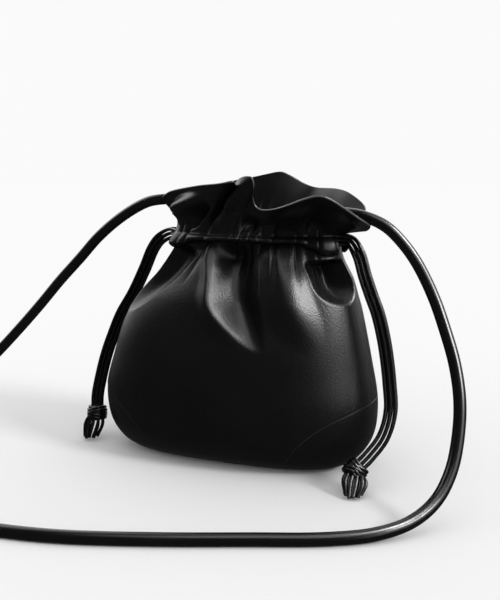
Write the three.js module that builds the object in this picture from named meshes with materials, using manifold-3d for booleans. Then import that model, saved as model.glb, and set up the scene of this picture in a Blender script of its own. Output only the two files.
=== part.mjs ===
// A small drawstring shoulder bag of soft black leather, in millimetres, +Z up.
// X runs along the bag's width, the front faces -Y, and the origin is under the middle of its base.
import * as THREE from "three";
import { mergeVertices } from "three/addons/utils/BufferGeometryUtils.js";
import Module from "manifold-3d";

// Driving dimensions
const BODY_WIDTH = 208;
const BODY_DEPTH = 112;
const NECK_HEIGHT = 166;
const COLLAR_WIDTH = 160;
const COLLAR_DEPTH = 100;
const COLLAR_RISE = 42;
const LEATHER = 1.5;
const SEAM_GAP = 0.5;
const FIT = 0.45;
const TONGUE_HEIGHT = 50;
const TONGUE_TURN = 64;
const FOLD_DEPTH = 15;
const GATHER_DEPTH = 0.9;
const GATHERS = 9;
const CASING_BELOW = 14;
const CASING_SHARE = 0.26;
const CASING_PUFF = 5;
const CASING_MOUTH = 17;
const STRAP_DIAMETER = 8;
const STOP_DIAMETER = 11;
const STRAND_DIAMETER = 2.6;
const STRAND_PITCH = 3.2;
const CHANNEL_HEIGHT = 163;
const CHANNEL_SPACE = 0.25;
const KNOT_WIDTH = 16;
const KNOT_HEIGHT = 17;
const END_DIAMETER = 2.4;
const ENDS = 5;

// How a fold fades past its two ends, as shares of its length.
const FOLD_START_PAST = 0.12;
const FOLD_START_FADE = 0.3;
const FOLD_ROUND_FROM = 0.62;
const FOLD_ROUND_PAST = 0.2;

// Where the gathers begin, as a share of NECK_HEIGHT, and how far they stay from the side mouths, in degrees.
const GATHER_FROM = 0.78;
const GATHER_FADE = 0.2;
const GATHER_CLEAR = 27;
const GATHER_CLEAR_FADE = 12;

// The base tongue's outline: a larger TONGUE_FLAT flattens its top, a smaller TONGUE_STEEP rounds its foot.
const TONGUE_FLAT = 3;
const TONGUE_STEEP = 0.7;

// How the collar climbs and spreads from the neck to its edge: as powers of the share of the way.
const COLLAR_CLIMB = 0.85;
const COLLAR_SPREAD = 1.3;

// Cross sections of the body from the floor to the neck. height is a share of NECK_HEIGHT, wide and deep
// are shares of BODY_WIDTH and BODY_DEPTH, square is the ellipse's power, and lean moves the section
// sideways by a share of BODY_WIDTH.
const SECTIONS = [
  { height: 0.0, wide: 0.66, deep: 0.46, square: 2.8, lean: 0 },
  { height: 0.02, wide: 0.81, deep: 0.62, square: 2.7, lean: 0 },
  { height: 0.07, wide: 0.92, deep: 0.8, square: 2.5, lean: 0 },
  { height: 0.16, wide: 0.99, deep: 0.95, square: 2.4, lean: 0 },
  { height: 0.3, wide: 1.0, deep: 1.0, square: 2.4, lean: 0 },
  { height: 0.46, wide: 0.945, deep: 0.98, square: 2.3, lean: 0.006 },
  { height: 0.6, wide: 0.885, deep: 0.93, square: 2.2, lean: 0.014 },
  { height: 0.72, wide: 0.81, deep: 0.84, square: 2.1, lean: 0.03 },
  { height: 0.82, wide: 0.715, deep: 0.7, square: 2.0, lean: 0.055 },
  { height: 0.9, wide: 0.635, deep: 0.56, square: 2.0, lean: 0.062 },
  { height: 0.96, wide: 0.595, deep: 0.47, square: 2.0, lean: 0.07 },
  { height: 1.0, wide: 0.58, deep: 0.44, square: 2.0, lean: 0.075 },
];

// Folds that run down from the neck. top and foot are turns in degrees, from and to are shares of
// NECK_HEIGHT, wide is the half width in degrees at the top and the foot, depth is a share of FOLD_DEPTH,
// below zero where the leather goes into the bag, and crisp is 1 where the fold has a creased rim.
const FOLDS = [
  { name: "left gusset hollow", top: 214, foot: 206, from: 0.93, to: 0.69, wide: [26, 20], depth: -1.0, crisp: 1.0 },
  { name: "right gusset hollow", top: 334, foot: 338, from: 0.89, to: 0.75, wide: [22, 20], depth: -1.2, crisp: 0.95 },
  { name: "front valley", top: 262, foot: 283, from: 0.95, to: 0.61, wide: [18, 9], depth: -1.0, crisp: 0.6 },
  { name: "front ridge", top: 244, foot: 273, from: 0.97, to: 0.6, wide: [10, 8], depth: 0.35, crisp: 0.0 },
  { name: "front bulge", top: 292, foot: 308, from: 0.97, to: 0.6, wide: [14, 18], depth: 0.4, crisp: 0.0 },
  { name: "left back hollow", top: 152, foot: 162, from: 0.93, to: 0.7, wide: [20, 15], depth: -0.8, crisp: 0.8 },
  { name: "right back hollow", top: 26, foot: 18, from: 0.88, to: 0.72, wide: [20, 15], depth: -0.8, crisp: 0.8 },
  { name: "back valley", top: 96, foot: 90, from: 0.97, to: 0.62, wide: [10, 10], depth: -0.9, crisp: 0.5 },
  { name: "back ridge", top: 118, foot: 112, from: 0.96, to: 0.64, wide: [10, 10], depth: 0.25, crisp: 0.0 },
];

// The ruffle's free edge, once round. turn is in degrees, out and back are shares of half of
// COLLAR_WIDTH and COLLAR_DEPTH from the neck's middle, and up is a share of COLLAR_RISE.
const RIM = [
  { turn: 0, out: 0.98, back: -0.04, up: 0.08 },
  { turn: 10, out: 0.94, back: 0.08, up: 0.22 },
  { turn: 22, out: 0.94, back: 0.2, up: 0.44 },
  { turn: 38, out: 0.78, back: 0.4, up: 0.64 },
  { turn: 52, out: 0.63, back: 0.56, up: 0.71 },
  { turn: 66, out: 0.41, back: 0.72, up: 0.72 },
  { turn: 78, out: 0.28, back: 0.76, up: 0.79 },
  { turn: 88, out: 0.15, back: 0.74, up: 0.93 },
  { turn: 96, out: 0.06, back: 0.7, up: 1.0 },
  { turn: 106, out: -0.07, back: 0.66, up: 0.96 },
  { turn: 116, out: -0.19, back: 0.62, up: 0.91 },
  { turn: 130, out: -0.41, back: 0.56, up: 0.83 },
  { turn: 148, out: -0.64, back: 0.4, up: 0.74 },
  { turn: 165, out: -0.84, back: 0.2, up: 0.66 },
  { turn: 180, out: -0.95, back: -0.04, up: 0.52 },
  { turn: 191, out: -0.85, back: -0.2, up: 0.64 },
  { turn: 200, out: -0.69, back: -0.32, up: 0.72 },
  { turn: 215, out: -0.41, back: -0.6, up: 0.8 },
  { turn: 228, out: -0.17, back: -0.8, up: 0.84 },
  { turn: 236, out: -0.04, back: -0.8, up: 0.87 },
  { turn: 241, out: -0.09, back: -0.52, up: 0.79 },
  { turn: 246, out: -0.05, back: -0.6, up: 0.9 },
  { turn: 252, out: 0.05, back: -0.76, up: 0.96 },
  { turn: 257, out: 0.13, back: -0.86, up: 0.94 },
  { turn: 261, out: 0.14, back: -0.8, up: 0.79 },
  { turn: 265, out: 0.1, back: -0.66, up: 0.61 },
  { turn: 270, out: 0.11, back: -0.6, up: 0.47 },
  { turn: 277, out: 0.18, back: -0.64, up: 0.42 },
  { turn: 285, out: 0.33, back: -0.78, up: 0.45 },
  { turn: 293, out: 0.47, back: -0.9, up: 0.52 },
  { turn: 302, out: 0.62, back: -1.0, up: 0.62 },
  { turn: 311, out: 0.74, back: -1.04, up: 0.67 },
  { turn: 320, out: 0.83, back: -1.0, up: 0.62 },
  { turn: 330, out: 0.93, back: -0.84, up: 0.47 },
  { turn: 340, out: 1.01, back: -0.56, up: 0.3 },
  { turn: 349, out: 1.05, back: -0.26, up: 0.17 },
  { turn: 360, out: 0.98, back: -0.04, up: 0.08 },
];

// The strap's route, from its stop inside the left end of the collar, out over the floor in a loop past
// the left, along the floor in front and up in an arc into the right end of the collar.
const STRAP_ROUTE = [
  [-45, 2, 190], [-52, 0, 189], [-60, -2, 188.6], [-70, -3, 187], [-80, -3, 183], [-97, -3, 173], [-115, -3, 159],
  [-132, -3, 142], [-151, -4, 123], [-169, -6, 103], [-188, -8, 83], [-206, -12, 64], [-224, -19, 45],
  [-241, -30, 28], [-257, -45, 14], [-270, -65, 6.5], [-276, -90, 4.05], [-270, -117, 4.05], [-253, -143, 4.05],
  [-227, -164, 4.05], [-194, -178, 4.05], [-158, -185, 4.05], [-118, -188, 4.05], [-76, -187, 4.05], [-38, -181, 4.05],
  [11, -166, 4.05], [64, -146, 4.05], [107, -129, 4.15], [132, -114, 5], [149, -97, 8.5], [160, -81, 17],
  [166, -68, 31], [168, -57, 49], [167, -47, 69], [162, -38, 90], [154, -31, 111], [145, -25, 131], [133, -19, 151],
  [122, -15, 164], [110, -12, 174], [96, -10, 179.6], [81, -6, 181.6], [66, 0, 180], [54, 5, 172],
];

// The middle line of each drawstring bundle from below its mouth down to its knot, and the knot's
// middle, with the tip that its cut ends reach on the floor.
const LEFT_BUNDLE = [
  [-54, 0, 163.5], [-64, 2, 159], [-72, 5, 151], [-82, 9, 134], [-94, 12, 114], [-104, 10, 97], [-110, 7, 81], [-114, 2, 65],
  [-116, -5, 46], [-116, -10, 34],
];
const LEFT_KNOT = [-115, -13, 21];
const LEFT_TIP = [-119, -21, 1.8];
const RIGHT_BUNDLE = [
  [85, -4, 162], [92, -9, 153.5], [97, -12, 140], [102, -13, 127], [107, -14, 115], [111, -15, 101], [114, -16, 87], [117, -18, 68],
  [119, -22, 50], [116, -29, 34], [109, -37, 23],
];
const RIGHT_KNOT = [101, -45, 14];
const RIGHT_TIP = [103, -62, 1.8];

// Where each of a side's six strands runs: its channel, 1 for the front one and -1 for the back one, and
// its level there, which is also its place outwards in the bundle, counted in STRAND_PITCH.
const STRANDS = [
  { channel: 1, level: 1 },
  { channel: 1, level: 0 },
  { channel: 1, level: -1 },
  { channel: -1, level: 1 },
  { channel: -1, level: 0 },
  { channel: -1, level: -1 },
];

const wasm = await Module();
wasm.setup();

const mix = (a, b, t) => a + (b - a) * t;
const clamp = (v) => Math.min(1, Math.max(0, v));
const ease = (v) => clamp(v) ** 2 * (3 - 2 * clamp(v));
const radians = (degrees) => (degrees * Math.PI) / 180;
const power = (v, p) => Math.sign(v) * Math.abs(v) ** p;

// A value of a table's column at a place between its rows, on a smooth curve through all of them. A ring's
// last row repeats its first.
function smooth(rows, column, place, ring = false) {
  const last = rows.length - 1;
  const i = Math.min(last - 1, Math.max(0, Math.floor(place)));
  const f = place - i;
  const before = ring && i === 0 ? last - 1 : Math.max(0, i - 1);
  const after = ring && i === last - 1 ? 1 : Math.min(last, i + 2);
  const [a, b, c, d] = [before, i, i + 1, after].map((k) => rows[k][column]);
  const linear = (c - a) * f;
  const square = (2 * a - 5 * b + 4 * c - d) * f * f;
  const cubic = (3 * b - a - 3 * c + d) * f ** 3;
  return 0.5 * (2 * b + linear + square + cubic);
}

// The place in SECTIONS where the body has a given height.
function placeAtHeight(height) {
  let low = 0;
  let high = SECTIONS.length - 1;
  for (let k = 0; k < 30; k++) {
    const middle = (low + high) / 2;
    if (smooth(SECTIONS, "height", middle) * NECK_HEIGHT < height) low = middle;
    else high = middle;
  }
  return low;
}

// How far the folds push the leather out at a turn and a share of the neck's height.
function foldDepth(turn, height) {
  let depth = 0;
  for (const fold of FOLDS) {
    const down = (fold.from - height) / (fold.from - fold.to);
    const line = mix(fold.top, fold.foot, down);
    const half = mix(fold.wide[0], fold.wide[1], clamp(down));
    const aside = Math.abs((((turn - line) % 360) + 540) % 360 - 180) / half;
    const foot = Math.max(0, (down - FOLD_ROUND_FROM) / (1 + FOLD_ROUND_PAST - FOLD_ROUND_FROM));
    const off = Math.hypot(aside, foot);
    const profile = mix(1 - ease(off), Math.max(0, 1 - off ** 2), fold.crisp);
    depth += fold.depth * ease((down + FOLD_START_PAST) / FOLD_START_FADE) * profile;
  }
  return depth * FOLD_DEPTH;
}

// How many degrees a turn is from the nearer side of the bag.
function turnFromSide(turn) {
  return Math.min(Math.abs(((turn + 90) % 180) - 90), 90);
}

// The outward ripple of the gathers, which stops short of the two mouths.
function gatherDepth(turn, height) {
  const aside = ease((turnFromSide(turn) - GATHER_CLEAR) / GATHER_CLEAR_FADE);
  const near = ease((height - GATHER_FROM) / GATHER_FADE) * aside;
  return GATHER_DEPTH * near * (1 + Math.cos(radians(turn * 2 * GATHERS)));
}

// The body's outer face. place runs from 0 at the middle of the base to 1 at the floor's edge, and then
// up one for each section. aside moves the point out of the face, level with it.
function bodyPoint(turn, place, aside = 0) {
  const rise = Math.max(0, place - 1);
  const spread = Math.min(1, place);
  const height = smooth(SECTIONS, "height", rise);
  const wide = (smooth(SECTIONS, "wide", rise) * BODY_WIDTH) / 2;
  const deep = (smooth(SECTIONS, "deep", rise) * BODY_DEPTH) / 2;
  const square = smooth(SECTIONS, "square", rise);
  const [c, s] = [Math.cos(radians(turn)), Math.sin(radians(turn))];
  const out = new THREE.Vector2(c / wide, s / deep).normalize();
  const push = place > 1 ? foldDepth(turn, height) + gatherDepth(turn, height) + aside : aside;
  return new THREE.Vector3(
    spread * wide * power(c, 2 / square) + smooth(SECTIONS, "lean", rise) * BODY_WIDTH + push * out.x,
    spread * deep * power(s, 2 / square) + push * out.y,
    height * NECK_HEIGHT,
  );
}

const NECK_PLACE = SECTIONS.length;
const NECK_MIDDLE = SECTIONS.at(-1).lean * BODY_WIDTH;

function rimPoint(turn) {
  const around = ((turn % 360) + 360) % 360;
  const row = RIM.findIndex((r, k) => k > 0 && around <= r.turn) - 1;
  const place = row + (around - RIM[row].turn) / (RIM[row + 1].turn - RIM[row].turn);
  return new THREE.Vector3(
    NECK_MIDDLE + (smooth(RIM, "out", place, true) * COLLAR_WIDTH) / 2,
    (smooth(RIM, "back", place, true) * COLLAR_DEPTH) / 2,
    NECK_HEIGHT + smooth(RIM, "up", place, true) * COLLAR_RISE,
  );
}

// The collar's outer face. share runs from 0 at the neck to 1 at the free edge.
function collarPoint(turn, share, aside = 0) {
  const foot = bodyPoint(turn, NECK_PLACE);
  const clear = bodyPoint(turn, NECK_PLACE, aside).sub(foot);
  const rim = rimPoint(turn);
  const spread = share ** COLLAR_SPREAD;
  return new THREE.Vector3(
    mix(foot.x, rim.x, spread),
    mix(foot.y, rim.y, spread),
    mix(foot.z, rim.z, share ** COLLAR_CLIMB),
  ).add(clear);
}

// The share where the collar's foot is one seam gap above the neck.
function collarFoot(turn) {
  return (SEAM_GAP / (rimPoint(turn).z - NECK_HEIGHT)) ** (1 / COLLAR_CLIMB);
}

// A closed mesh from points and triangles, with shared vertices and no empty triangles.
function closedMesh(points, triangles) {
  const raw = new THREE.BufferGeometry();
  raw.setAttribute("position", new THREE.Float32BufferAttribute(points.flatMap((p) => p.toArray()), 3));
  raw.setIndex(triangles.flat());
  const merged = mergeVertices(raw, 1e-3);
  const index = merged.getIndex().array;
  const kept = [];
  for (let k = 0; k < index.length; k += 3) {
    const [a, b, c] = [index[k], index[k + 1], index[k + 2]];
    if (a !== b && b !== c && c !== a) kept.push(a, b, c);
  }
  merged.setIndex(kept);
  merged.computeVertexNormals();
  return merged;
}

// How far beside a point, in degrees and in places, its surface's slope is read.
const BESIDE_TURN = 0.1;
const BESIDE_PLACE = 0.01;

// The point one leather thickness behind a surface.
function behind(surface, turn, place) {
  const along = surface(turn + BESIDE_TURN, place).sub(surface(turn - BESIDE_TURN, place));
  const up = surface(turn, place + BESIDE_PLACE).sub(surface(turn, Math.max(0, place - BESIDE_PLACE)));
  const normal = new THREE.Vector3().crossVectors(along, up);
  if (normal.length() < 1e-9) normal.set(0, 0, -1);
  return surface(turn, place).addScaledVector(normal.normalize(), -LEATHER);
}

// A leather wall: an outer face and an inner face through grids of points, and edges between them.
// Columns go round the bag and rows go up it. outerAt and innerAt give a point for a turn and a share.
function leatherWall(turns, rows, outerAt, innerAt, round = false) {
  const columns = turns.length;
  const at = (c, r) => r * columns + (c % columns);
  const outer = [];
  const inner = [];
  for (let r = 0; r < rows; r++) {
    for (const turn of turns) {
      outer.push(outerAt(turn, r / (rows - 1)));
      inner.push(innerAt(turn, r / (rows - 1)));
    }
  }
  const count = outer.length;
  const triangles = [];
  const quad = (a, b, c, d) => triangles.push([a, b, c], [a, c, d]);
  const spans = round ? columns : columns - 1;
  for (let r = 0; r < rows - 1; r++) {
    for (let c = 0; c < spans; c++) {
      const [a, b, d, e] = [at(c, r), at(c + 1, r), at(c + 1, r + 1), at(c, r + 1)];
      quad(a, b, d, e);
      quad(count + a, count + e, count + d, count + b);
    }
  }
  for (let c = 0; c < spans; c++) {
    quad(at(c, 0), count + at(c, 0), count + at(c + 1, 0), at(c + 1, 0));
    quad(at(c + 1, rows - 1), count + at(c + 1, rows - 1), count + at(c, rows - 1), at(c, rows - 1));
  }
  if (!round) {
    for (let r = 0; r < rows - 1; r++) {
      quad(at(0, r + 1), count + at(0, r + 1), count + at(0, r), at(0, r));
      const end = columns - 1;
      quad(at(end, r), count + at(end, r), count + at(end, r + 1), at(end, r + 1));
    }
  }
  return closedMesh([...outer, ...inner], triangles);
}

function solidOf(geometry) {
  const bare = new THREE.BufferGeometry();
  bare.setAttribute("position", geometry.getAttribute("position").clone());
  if (geometry.getIndex()) bare.setIndex(geometry.getIndex().clone());
  const merged = mergeVertices(bare, 1e-4);
  const vertProperties = new Float32Array(merged.getAttribute("position").array);
  const triVerts = new Uint32Array(merged.getIndex().array);
  return new wasm.Manifold(new wasm.Mesh({ numProp: 3, vertProperties, triVerts }));
}

function geometryOf(solid) {
  const mesh = solid.getMesh();
  const geometry = new THREE.BufferGeometry();
  geometry.setAttribute("position", new THREE.BufferAttribute(new Float32Array(mesh.vertProperties), 3));
  geometry.setIndex(new THREE.BufferAttribute(new Uint32Array(mesh.triVerts), 1));
  geometry.computeVertexNormals();
  return geometry;
}

// A round cord along a smooth curve through its points.
function cordTube(points, diameter, steps, sides) {
  const section = new THREE.Shape();
  for (let k = 0; k < sides; k++) {
    const angle = (2 * Math.PI * k) / sides;
    const [x, y] = [(Math.cos(angle) * diameter) / 2, (Math.sin(angle) * diameter) / 2];
    if (k) section.lineTo(x, y);
    else section.moveTo(x, y);
  }
  section.closePath();
  const extrudePath = new THREE.CatmullRomCurve3(points.map((p) => new THREE.Vector3(...p)), false, "centripetal");
  return new THREE.ExtrudeGeometry(section, { steps, extrudePath, curveSegments: 1 });
}

const group = new THREE.Group();
group.name = "drawstring_bag";

function add(name, geometry, finish) {
  const mesh = new THREE.Mesh(geometry, new THREE.MeshStandardMaterial(finish));
  mesh.name = name;
  group.add(mesh);
}

const FRONT_LEATHER = { color: 0x151516, roughness: 0.36, metalness: 0 };
const BACK_LEATHER = { color: 0x141415, roughness: 0.4, metalness: 0 };
const BASE_LEATHER = { color: 0x161617, roughness: 0.38, metalness: 0 };
const COLLAR_LEATHER = { color: 0x131314, roughness: 0.34, metalness: 0 };
const CASING_LEATHER = { color: 0x141414, roughness: 0.37, metalness: 0 };
const STRAP_LEATHER = { color: 0x101011, roughness: 0.3, metalness: 0 };
const CORD_LEATHER = { color: 0x0f0f10, roughness: 0.42, metalness: 0 };

// Turns of the columns on one half, from one side seam to the other. close turns, counted from the side,
// get a column more between each two.
function halfTurns(start, steps, close = [90, 90]) {
  const turns = [];
  for (let k = 0; k < steps; k++) {
    const turn = (180 * k) / steps;
    const middle = turn + 90 / steps;
    const fromSide = Math.min(middle, 180 - middle);
    turns.push(start + turn);
    if (fromSide > close[0] && fromSide < close[1]) turns.push(start + middle);
  }
  turns.push(start + 180);
  return turns;
}

// A turn moved away from the side seams, so that half the seam's gap is left at any height.
function seamTurn(turn, place, start) {
  const rise = Math.max(0, place - 1);
  const deep = (smooth(SECTIONS, "deep", rise) * BODY_DEPTH) / 2;
  const square = smooth(SECTIONS, "square", rise);
  const inset = Math.asin((SEAM_GAP / 2 / deep) ** (square / 2)) * (180 / Math.PI);
  return start + mix(inset, 180 - inset, (turn - start) / 180);
}

// How far past the floor's edge the base panel's seam lies between its tongues, as a step of place.
const FLOOR_EDGE = 0.05;

// The seam between the base panel and the body: a tongue up each side, and along the floor between them.
function seamPlace(turn) {
  const across = Math.min(1, turnFromSide(turn) / TONGUE_TURN);
  const height = TONGUE_HEIGHT * (1 - across ** TONGUE_FLAT) ** TONGUE_STEEP;
  return 1 + FLOOR_EDGE + placeAtHeight(height);
}

// Half of the seam's gap as a step of place, so that the gap is the same all round. Where the seam
// slants, the step grows with the slant, up to STEEPEST_SEAM times.
const STEEPEST_SEAM = 4;
function seamStep(turn) {
  const seam = seamPlace(turn);
  const step = 5 * BESIDE_PLACE;
  const length = bodyPoint(turn, seam - step).distanceTo(bodyPoint(turn, seam + step)) / (2 * step);
  const [before, after] = [turn - 1, turn + 1];
  const level = bodyPoint(before, seam).distanceTo(bodyPoint(after, seam));
  const slanted = bodyPoint(before, seamPlace(before)).distanceTo(bodyPoint(after, seamPlace(after)));
  return ((SEAM_GAP / 2) * Math.min(STEEPEST_SEAM, slanted / level)) / length;
}

const FRONT_STEPS = 36;
const BACK_STEPS = 27;
const CORNER_TURNS = [TONGUE_TURN - 14, TONGUE_TURN + 4];
const FRONT_TURNS = halfTurns(180, FRONT_STEPS, CORNER_TURNS);
const BACK_TURNS = halfTurns(0, BACK_STEPS, CORNER_TURNS);
const CASING_FOOT = 1 + placeAtHeight(NECK_HEIGHT - CASING_BELOW);

// Front and back panels, from the base seam up to the neck. Their last two rows lie behind the casing's.
function bodyPanel(turns, rows) {
  const split = (rows - 3) / (rows - 1);
  const placeAt = (turn, share) => {
    if (share > split) return mix(CASING_FOOT, NECK_PLACE, (share - split) / (1 - split));
    const seam = seamTurn(turn, seamPlace(turn), turns[0]);
    return mix(seamPlace(seam) + seamStep(seam), CASING_FOOT, share / split);
  };
  const turnAt = (turn, share) => seamTurn(turn, placeAt(turn, share), turns[0]);
  const outer = (turn, share) => bodyPoint(turnAt(turn, share), placeAt(turn, share));
  const inner = (turn, share) => behind(bodyPoint, turnAt(turn, share), placeAt(turn, share));
  return leatherWall(turns, rows, outer, inner);
}
add("front_panel", bodyPanel(FRONT_TURNS, 11), FRONT_LEATHER);
add("back_panel", bodyPanel(BACK_TURNS, 9), BACK_LEATHER);

// Base panel, with its tongues up the sides. FLAT_SHARE of its rows lie on the floor, out to FLAT_PLACE.
const FLAT_SHARE = 0.4;
const FLAT_PLACE = 0.88;
function basePlace(turn, share) {
  if (share <= FLAT_SHARE) return FLAT_PLACE * (share / FLAT_SHARE);
  return mix(FLAT_PLACE, seamPlace(turn) - seamStep(turn), (share - FLAT_SHARE) / (1 - FLAT_SHARE));
}
const baseOuter = (turn, share) => bodyPoint(turn, basePlace(turn, share));
const baseInner = (turn, share) => behind(bodyPoint, turn, basePlace(turn, share));
const BASE_TURNS = [BACK_TURNS, FRONT_TURNS].flatMap((half) => [
  half[0],
  ...half.slice(1, -1).map((turn) => seamTurn(turn, seamPlace(turn), half[0])),
]);
add("base_panel", leatherWall(BASE_TURNS, 6, baseOuter, baseInner, true), BASE_LEATHER);

// Collar halves: the ruffle above the neck, cut back where the strap runs out over its two ends
const STRAP_STEPS = 52;
const strapRoom = solidOf(cordTube(STRAP_ROUTE, STRAP_DIAMETER + 2 * FIT, STRAP_STEPS, 8));
function collarHalf(turns) {
  const shareAt = (turn, share) => mix(collarFoot(turn), 1, share);
  const outer = (turn, share) => collarPoint(seamTurn(turn, NECK_PLACE, turns[0]), shareAt(turn, share));
  const inner = (turn, share) => behind(collarPoint, seamTurn(turn, NECK_PLACE, turns[0]), shareAt(turn, share));
  return geometryOf(solidOf(leatherWall(turns, 5, outer, inner)).subtract(strapRoom));
}
add("front_collar", collarHalf(halfTurns(180, 2 * FRONT_STEPS)), COLLAR_LEATHER);
add("back_collar", collarHalf(BACK_TURNS), COLLAR_LEATHER);

// Casings: the two halves of the drawstring tunnel, open at both side mouths. Half of a casing's rows lie
// below the neck, and half on the collar.
const CASING_ROWS = 5;
function casingHalf(half) {
  const turns = half.filter((turn) => turnFromSide(turn) >= CASING_MOUTH);
  const surface = (turn, share, out) => {
    const aside = FIT + out + CASING_PUFF * Math.sin(Math.PI * share);
    const seam = seamTurn(turn, NECK_PLACE, half[0]);
    if (share < 0.5) return bodyPoint(seam, mix(CASING_FOOT, NECK_PLACE, 2 * share), aside);
    return collarPoint(seam, CASING_SHARE * (2 * share - 1), aside);
  };
  const outer = (turn, share) => surface(turn, share, LEATHER);
  const inner = (turn, share) => surface(turn, share, 0);
  return leatherWall(turns, CASING_ROWS, outer, inner);
}
add("front_casing", casingHalf(FRONT_TURNS), CASING_LEATHER);
add("back_casing", casingHalf(BACK_TURNS), CASING_LEATHER);

// Strap, and the stop that keeps its left end in the collar
add("strap", cordTube(STRAP_ROUTE, STRAP_DIAMETER, STRAP_STEPS, 8), STRAP_LEATHER);

function ball(centre, wide, high, across = 12, up = 8) {
  const geometry = new THREE.SphereGeometry(1, across, up);
  geometry.deleteAttribute("uv");
  geometry.deleteAttribute("normal");
  geometry.rotateX(Math.PI / 2);
  geometry.scale(wide / 2, wide / 2, high / 2);
  geometry.translate(...centre);
  return geometry;
}
const STRAP_START = new THREE.Vector3(...STRAP_ROUTE[0]);
const STRAP_HEADING = STRAP_START.clone().sub(new THREE.Vector3(...STRAP_ROUTE[1])).normalize();
const stopMiddle = STRAP_START.clone().addScaledVector(STRAP_HEADING, STOP_DIAMETER / 2 + FIT);
add("strap_stop", ball(stopMiddle.toArray(), STOP_DIAMETER, STOP_DIAMETER), STRAP_LEATHER);

// Drawstring strands: three leave each channel at a side and run down to that side's knot
function bundlePoint(route, k, strand) {
  const here = new THREE.Vector3(...route[k]);
  const next = new THREE.Vector3(...route[Math.min(route.length - 1, k + 1)]);
  const last = new THREE.Vector3(...route[Math.max(0, k - 1)]);
  const along = next.sub(last).normalize();
  const across = new THREE.Vector3(0, -1, 0).addScaledVector(along, along.y).normalize();
  const out = new THREE.Vector3().crossVectors(across, along).normalize();
  if (out.x * here.x < 0) out.negate();
  here.addScaledVector(across, (strand.channel * STRAND_PITCH) / 2);
  return here.addScaledVector(out, strand.level * STRAND_PITCH);
}

// How much further off the leather than a fit a strand lies, in its channel and just past its mouth.
const PAST_MOUTH = 1.7;
const CHANNEL_LIFT = 0.25;

// The turns, past the casing's mouth, where a strand starts inside it, leaves it and has come clear of it.
const STRAND_TURNS = [8, 2, -5];

function strandPoints(side, route, knot, strand) {
  const level = placeAtHeight(CHANNEL_HEIGHT + strand.level * (STRAND_DIAMETER + CHANNEL_SPACE)) + 1;
  const turnAt = (fromSide) => (side > 0 ? -strand.channel * fromSide : 180 + strand.channel * fromSide);
  const aside = FIT + CHANNEL_LIFT + STRAND_DIAMETER / 2;
  const [inside, mouth, past] = STRAND_TURNS.map((past, k) =>
    bodyPoint(turnAt(CASING_MOUTH + past), level, aside + (k === 2 ? PAST_MOUTH : 0)),
  );
  const points = [inside, mouth, past, ...route.map((p, k) => bundlePoint(route, k, strand))];
  const middle = new THREE.Vector3(...knot);
  const last = points.at(-1);
  const heading = middle.clone().sub(new THREE.Vector3(...route.at(-1))).normalize();
  const reach = middle.clone().sub(last).dot(heading) - KNOT_HEIGHT / 2 - FIT;
  if (reach > 1) points.push(last.clone().addScaledVector(heading, reach));
  return points.map((p) => p.toArray());
}

// The knot's wraps stand WRAP_DEPTH of its radius proud, and slant. Its cut ends lie ENDS_APART of their
// diameter apart, the outer ones ENDS_BACK shorter for each place from the middle, and they start and bend
// at two shares of their way, where they lift a little.
const WRAP_DEPTH = 0.07;
const WRAPS = 9;
const WRAP_SLANT = 3;
const ENDS_APART = 1.2;
const ENDS_BACK = 1.5;
const ENDS_FROM = 0.2;
const ENDS_BEND = 0.6;
const ENDS_LIFT = 1.2;

// A knot with its cut ends: a lumpy round body whose wraps stand proud, and a short tassel
function knotWithEnds(knot, route, tip) {
  const heading = new THREE.Vector3(...knot).sub(new THREE.Vector3(...route.at(-1))).normalize();
  const body = new THREE.SphereGeometry(1, 10, 7);
  body.deleteAttribute("uv");
  body.deleteAttribute("normal");
  const place = body.getAttribute("position");
  for (let k = 0; k < place.count; k++) {
    const p = new THREE.Vector3().fromBufferAttribute(place, k);
    const wrap = 1 + WRAP_DEPTH * Math.cos(WRAPS * p.y + WRAP_SLANT * p.x);
    place.setXYZ(k, (p.x * wrap * KNOT_WIDTH) / 2, (p.y * KNOT_HEIGHT) / 2, (p.z * wrap * KNOT_WIDTH) / 2);
  }
  body.applyQuaternion(new THREE.Quaternion().setFromUnitVectors(new THREE.Vector3(0, -1, 0), heading));
  body.translate(...knot);
  let solid = solidOf(body);
  const start = new THREE.Vector3(...knot);
  const end = new THREE.Vector3(...tip);
  for (let k = 0; k < ENDS; k++) {
    const beside = k - (ENDS - 1) / 2;
    const foot = new THREE.Vector3(beside * END_DIAMETER * ENDS_APART, Math.abs(beside) * ENDS_BACK, 0).add(end);
    const bend = start.clone().lerp(foot, ENDS_BEND).add(new THREE.Vector3(0, 0, ENDS_LIFT));
    const from = start.clone().lerp(foot, ENDS_FROM);
    solid = solid.add(solidOf(cordTube([from, bend, foot].map((p) => p.toArray()), END_DIAMETER, 3, 6)));
  }
  return geometryOf(solid);
}

const SIDES = [
  { name: "left", side: -1, route: LEFT_BUNDLE, knot: LEFT_KNOT, tip: LEFT_TIP },
  { name: "right", side: 1, route: RIGHT_BUNDLE, knot: RIGHT_KNOT, tip: RIGHT_TIP },
];
for (const { name, side, route, knot, tip } of SIDES) {
  STRANDS.forEach((strand, k) => {
    const points = strandPoints(side, route, knot, strand);
    add(`${name}_strand_${k + 1}`, cordTube(points, STRAND_DIAMETER, 13, 8), CORD_LEATHER);
  });
  add(`${name}_knot`, knotWithEnds(knot, route, tip), CORD_LEATHER);
}

export default group;
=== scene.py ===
import math
from collections import namedtuple

import bpy
import numpy as np
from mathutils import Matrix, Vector, noise


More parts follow.
